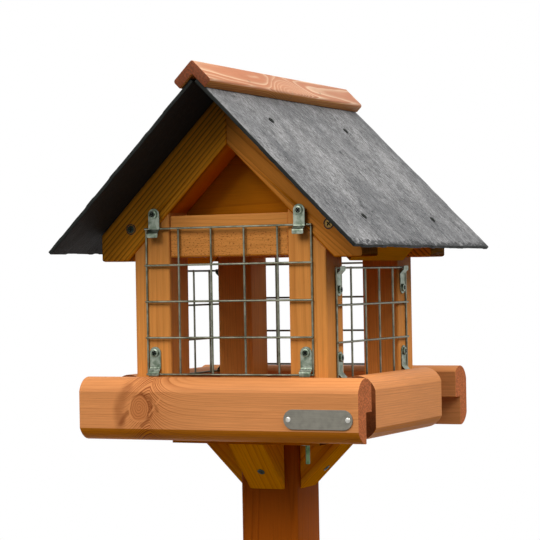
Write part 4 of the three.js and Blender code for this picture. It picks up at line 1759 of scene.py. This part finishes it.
@dataclass
class SmallScrews:
    """Countersunk screws in slates, rafters, braces and cap, their heads a hair proud."""

    slate_head: float = 0.0082
    timber_head: float = 0.0086
    cap_head: float = 0.0050
    head_depth: float = 0.003
    neck_share: float = 0.45
    cross_share: float = 0.74
    recess_share: float = 0.39
    dome: float = 0.0002
    dome_inset: float = 0.0005
    shank: float = 0.012
    proud: float = 0.0005
    burr_height: float = 0.0003
    burr_width: float = 0.0006
    burr_ragged: float = 0.0009
    slates: Slates = field(default_factory=Slates)

    def build(self) -> None:
        """Sets every visible screw."""
        self.set_slate_screws()
        self.set_rafter_screws()
        self.set_brace_screws()
        self.set_cap_screws()

    def sunk_screw(self, head: float) -> Object:
        """A countersunk screw that faces +X, with its rim at x = 0 and a shallow recess.

        Args:
            head: diameter of its head.

        Returns:
            The new object.
        """
        screw = drum(head / 2, self.head_depth, (-self.head_depth / 2, 0.0, 0.0), "x", 28)
        with editing(screw) as pick:
            pick(lambda c, n: n.x < -FACING)
            bpy.ops.transform.resize(value=(1.0, self.neck_share, self.neck_share))
            extrude((-self.shank, 0.0, 0.0))
            pick(lambda c, n: n.x > FACING)
            step_in(self.dome_inset, (self.dome, 0.0, 0.0))
        cut_cross(screw, head * self.cross_share, 0.0, self.proud * 0.7)
        smooth(screw, 50.0)
        return screw

    def burr(self, radius: float) -> Object:
        """The torn rim of a screw hole: a ragged ring that faces +X, a hair proud of the face.

        Args:
            radius: its inner radius.

        Returns:
            The new object.
        """
        chance = random.Random(5)
        ring = drum(radius, self.burr_height, (0.0002, 0.0, 0.0), "x", 22)
        with editing(ring) as pick:
            pick(lambda c, n: abs(n.x) > FACING)
            bpy.ops.mesh.delete(type="FACE")
        modify(ring, "SOLIDIFY", thickness=self.burr_width, offset=1.0)
        mesh = bmesh.new()
        mesh.from_mesh(ring.data)
        for vert in mesh.verts:
            reach = Vector((0.0, vert.co.y, vert.co.z))
            if reach.length > radius + self.burr_width / 2:
                vert.co += reach.normalized() * chance.uniform(0.0, self.burr_ragged)
        mesh.to_mesh(ring.data)
        mesh.free()
        return ring

    def set_copy(self, pattern: Object, name: str, point: Sequence[float],
                 outward: Sequence[float], spin: float, finish: MetalFinish | Material,
                 head: float = 0.0) -> None:
        """Copies a pattern piece to a place.

        Args:
            pattern: the piece that faces +X.
            name: the copy's name.
            point: where its origin goes.
            outward: where it faces.
            spin: its turn about its own axis in radians.
            finish: its material, or with a head the metal of a screw with painted shade in its
                recess.
            head: diameter of a screw's head.
        """
        if head:
            recess = Recess(tuple(point), tuple(outward), head * self.recess_share)
            finish = finish.skin(name, recess)
        twin = copied(pattern)
        turn = Vector(X).rotation_difference(Vector(outward)).to_matrix().to_4x4()
        twin.matrix_world = Matrix.Translation(point) @ turn @ Matrix.Rotation(spin, 4, "X")
        settle(twin)
        hand_over(twin, name, finish)

    def set_slate_screws(self) -> None:
        """Four screws in each slate, into the rafters."""
        pattern = self.sunk_screw(self.slate_head)
        above = SIZES.stock + SIZES.gap + SIZES.slate + self.proud
        for sign, side in HANDS:
            for row, x in enumerate(self.slates.screw_rows):
                for fore, end in ENDS:
                    point = (sign * x, fore * self.slates.screw_line, SIZES.roof(x, above))
                    outward = (sign * math.sqrt(0.5), 0.0, math.sqrt(0.5))
                    self.set_copy(pattern, f"slate_screw_{side}_{end}_{row + 1}", point, outward,
                                  0.7 * row + fore, BLACKENED, self.slate_head)
        dropped(pattern)

    def set_rafter_screws(self) -> None:
        """One screw in each rafter's face, into the purlin, in a torn hole."""
        pattern = self.sunk_screw(self.timber_head)
        burr = self.burr(self.timber_head * 0.56)
        torn = BURR_WOOD.skin("rafter_holes")
        x, z = 0.120, SIZES.tray_top + 0.1985
        for fore, end in ENDS:
            for sign, side in HANDS:
                seat = (sign * x, fore * (SIZES.half_depth + self.proud), z)
                self.set_copy(pattern, f"rafter_screw_{end}_{side}", seat, (0.0, fore, 0.0),
                              0.5 * sign + 0.3, BRONZED if sign > 0.0 else DULLED,
                              self.timber_head)
                self.set_copy(burr, f"rafter_hole_{end}_{side}",
                              (sign * x, fore * SIZES.half_depth, z), (0.0, fore, 0.0),
                              1.1 * sign, torn)
        dropped(pattern, burr)

    def set_brace_screws(self) -> None:
        """One screw in the middle of each head brace's slope."""
        pattern = self.sunk_screw(self.timber_head)
        for side in Side:
            outward = side.turned((1.0, 0.0, -1.0)).normalized()
            point = side.turned((0.0562, 0.003, 1.1265)) + outward * self.proud
            self.set_copy(pattern, f"brace_screw_{side.label}", point, outward, 0.4, DULLED,
                          self.timber_head)
        dropped(pattern)

    def set_cap_screws(self) -> None:
        """Two small screws in each limb of the ridge cap."""
        pattern = self.sunk_screw(self.cap_head)
        material = BRONZED.skin("cap_screws")
        x, y = 0.0153, 0.0952
        above = SIZES.under_cap + SIZES.cap - self.dome
        for sign, side in HANDS:
            for fore, end in ENDS:
                point = (sign * x, fore * y, SIZES.roof(x, above))
                self.set_copy(pattern, f"cap_screw_{side}_{end}", point, (sign, 0.0, 1.0),
                              0.78 + fore * 0.1, material)
        dropped(pattern)


@dataclass
class TrayFixings:
    """The two bolts through the tray floor and their tee nuts."""

    nodes: dict
    place_x: float = 0.063
    place_y: float = 0.062
    radius: float = 0.0025
    point: float = 0.0006
    head: float = 0.007
    head_height: float = 0.0032
    rim_share: float = 0.35

    def build(self) -> None:
        """Models the bolts and dresses the tee nuts."""
        material = BOLT_METAL.skin("bolts")
        seat, rim = SIZES.tray_top + SIZES.gap, self.head_height * self.rim_share
        for fore, name in ENDS:
            low = box(f"{name}_tray_bolt")[0].z
            x, y = -fore * self.place_x, fore * self.place_y
            shaft = drum(self.radius, seat - low, (x, y, (seat + low) / 2), "z", 24)
            ease(shaft, self.point, 2, 60.0)
            cap = drum(self.head, rim, (x, y, seat + rim / 2), "z", 36)
            with editing(cap) as pick:
                pick(lambda c, n: n.z > FACING)
                for share, rise in ((0.12, 0.30), (0.22, 0.24), (0.30, 0.11)):
                    step_in(self.head * share, (0.0, 0.0, self.head_height * rise))
            bolt = joined((shaft, cap))
            smooth(bolt, 40.0)
            hand_over(bolt, f"bolt_{name}", material, (f"{name}_tray_bolt",))
            nut = f"{name}_tee_nut"
            paint(self.nodes[nut], ZINC.skin(nut))


@dataclass
class NamePlate:
    """Bare satin plate with round ends on two domed pins."""

    length: float = 0.079
    height: float = 0.021
    thickness: float = 0.0012
    arris: float = 0.00025
    pin_inset: float = 0.0054
    pin: float = 0.0031
    pin_height: float = 0.0014

    def build(self) -> None:
        """Models the plate and its pins in front of the front rail."""
        low, high = box("name_plate")
        middle, back, radius = (low + high) / 2, high.y, self.height / 2
        spread = self.length / 2 - radius
        plate = drum(radius, self.thickness, (0.0, back - self.thickness / 2, 0.0), "y", 72)
        with editing(plate, "VERT") as pick:
            pick(lambda p: p.x > TOUCH)
            bpy.ops.transform.translate(value=(spread, 0.0, 0.0))
            pick(lambda p: p.x < TOUCH)
            bpy.ops.transform.translate(value=(-spread, 0.0, 0.0))
        with editing(plate) as pick:
            pick(lambda c, n: n.y < -FACING)
            bpy.ops.mesh.inset(thickness=0.0003)
        ease(plate, self.arris, 2, 60.0)
        put(plate, (middle.x, 0.0, middle.z))
        smooth(plate, 40.0)
        hand_over(plate, "blank_plate", PLATE_METAL.skin(), ("name_plate",))
        self.add_pins(middle, back - self.thickness)

    def add_pins(self, middle: Vector, face: float) -> None:
        """Adds the two domed pins.

        Args:
            middle: the plate's middle.
            face: place of the plate's front face.
        """
        material = PIN_METAL.skin()
        for sign, name in reversed(HANDS):
            spot = (middle.x + sign * (self.length / 2 - self.pin_inset), face, middle.z)
            pin = added(bpy.ops.mesh.primitive_uv_sphere_add, segments=28, ring_count=14,
                        radius=self.pin, location=spot, rotation=(math.pi / 2, 0.0, 0.0))
            pin.scale = (1.0, 1.0, self.pin_height / self.pin)
            settle(pin)
            with editing(pin):
                bisect((0.0, face + TOUCH, 0.0), Y)
            smooth(pin, 60.0)
            hand_over(pin, f"plate_pin_{name}", material)


def main() -> None:
    """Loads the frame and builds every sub-assembly."""
    logging.basicConfig(level=logging.INFO, format="%(name)s: %(message)s")
    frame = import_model()
    for assembly in (Studio(), Timbers(frame["nodes"]), SupportPost(), Rails(), Slates(),
                     RidgeCap(), Guards(), Clips(), SmallScrews(), TrayFixings(frame["nodes"]),
                     NamePlate()):
        assembly.build()


if __name__ == "__main__":
    main()
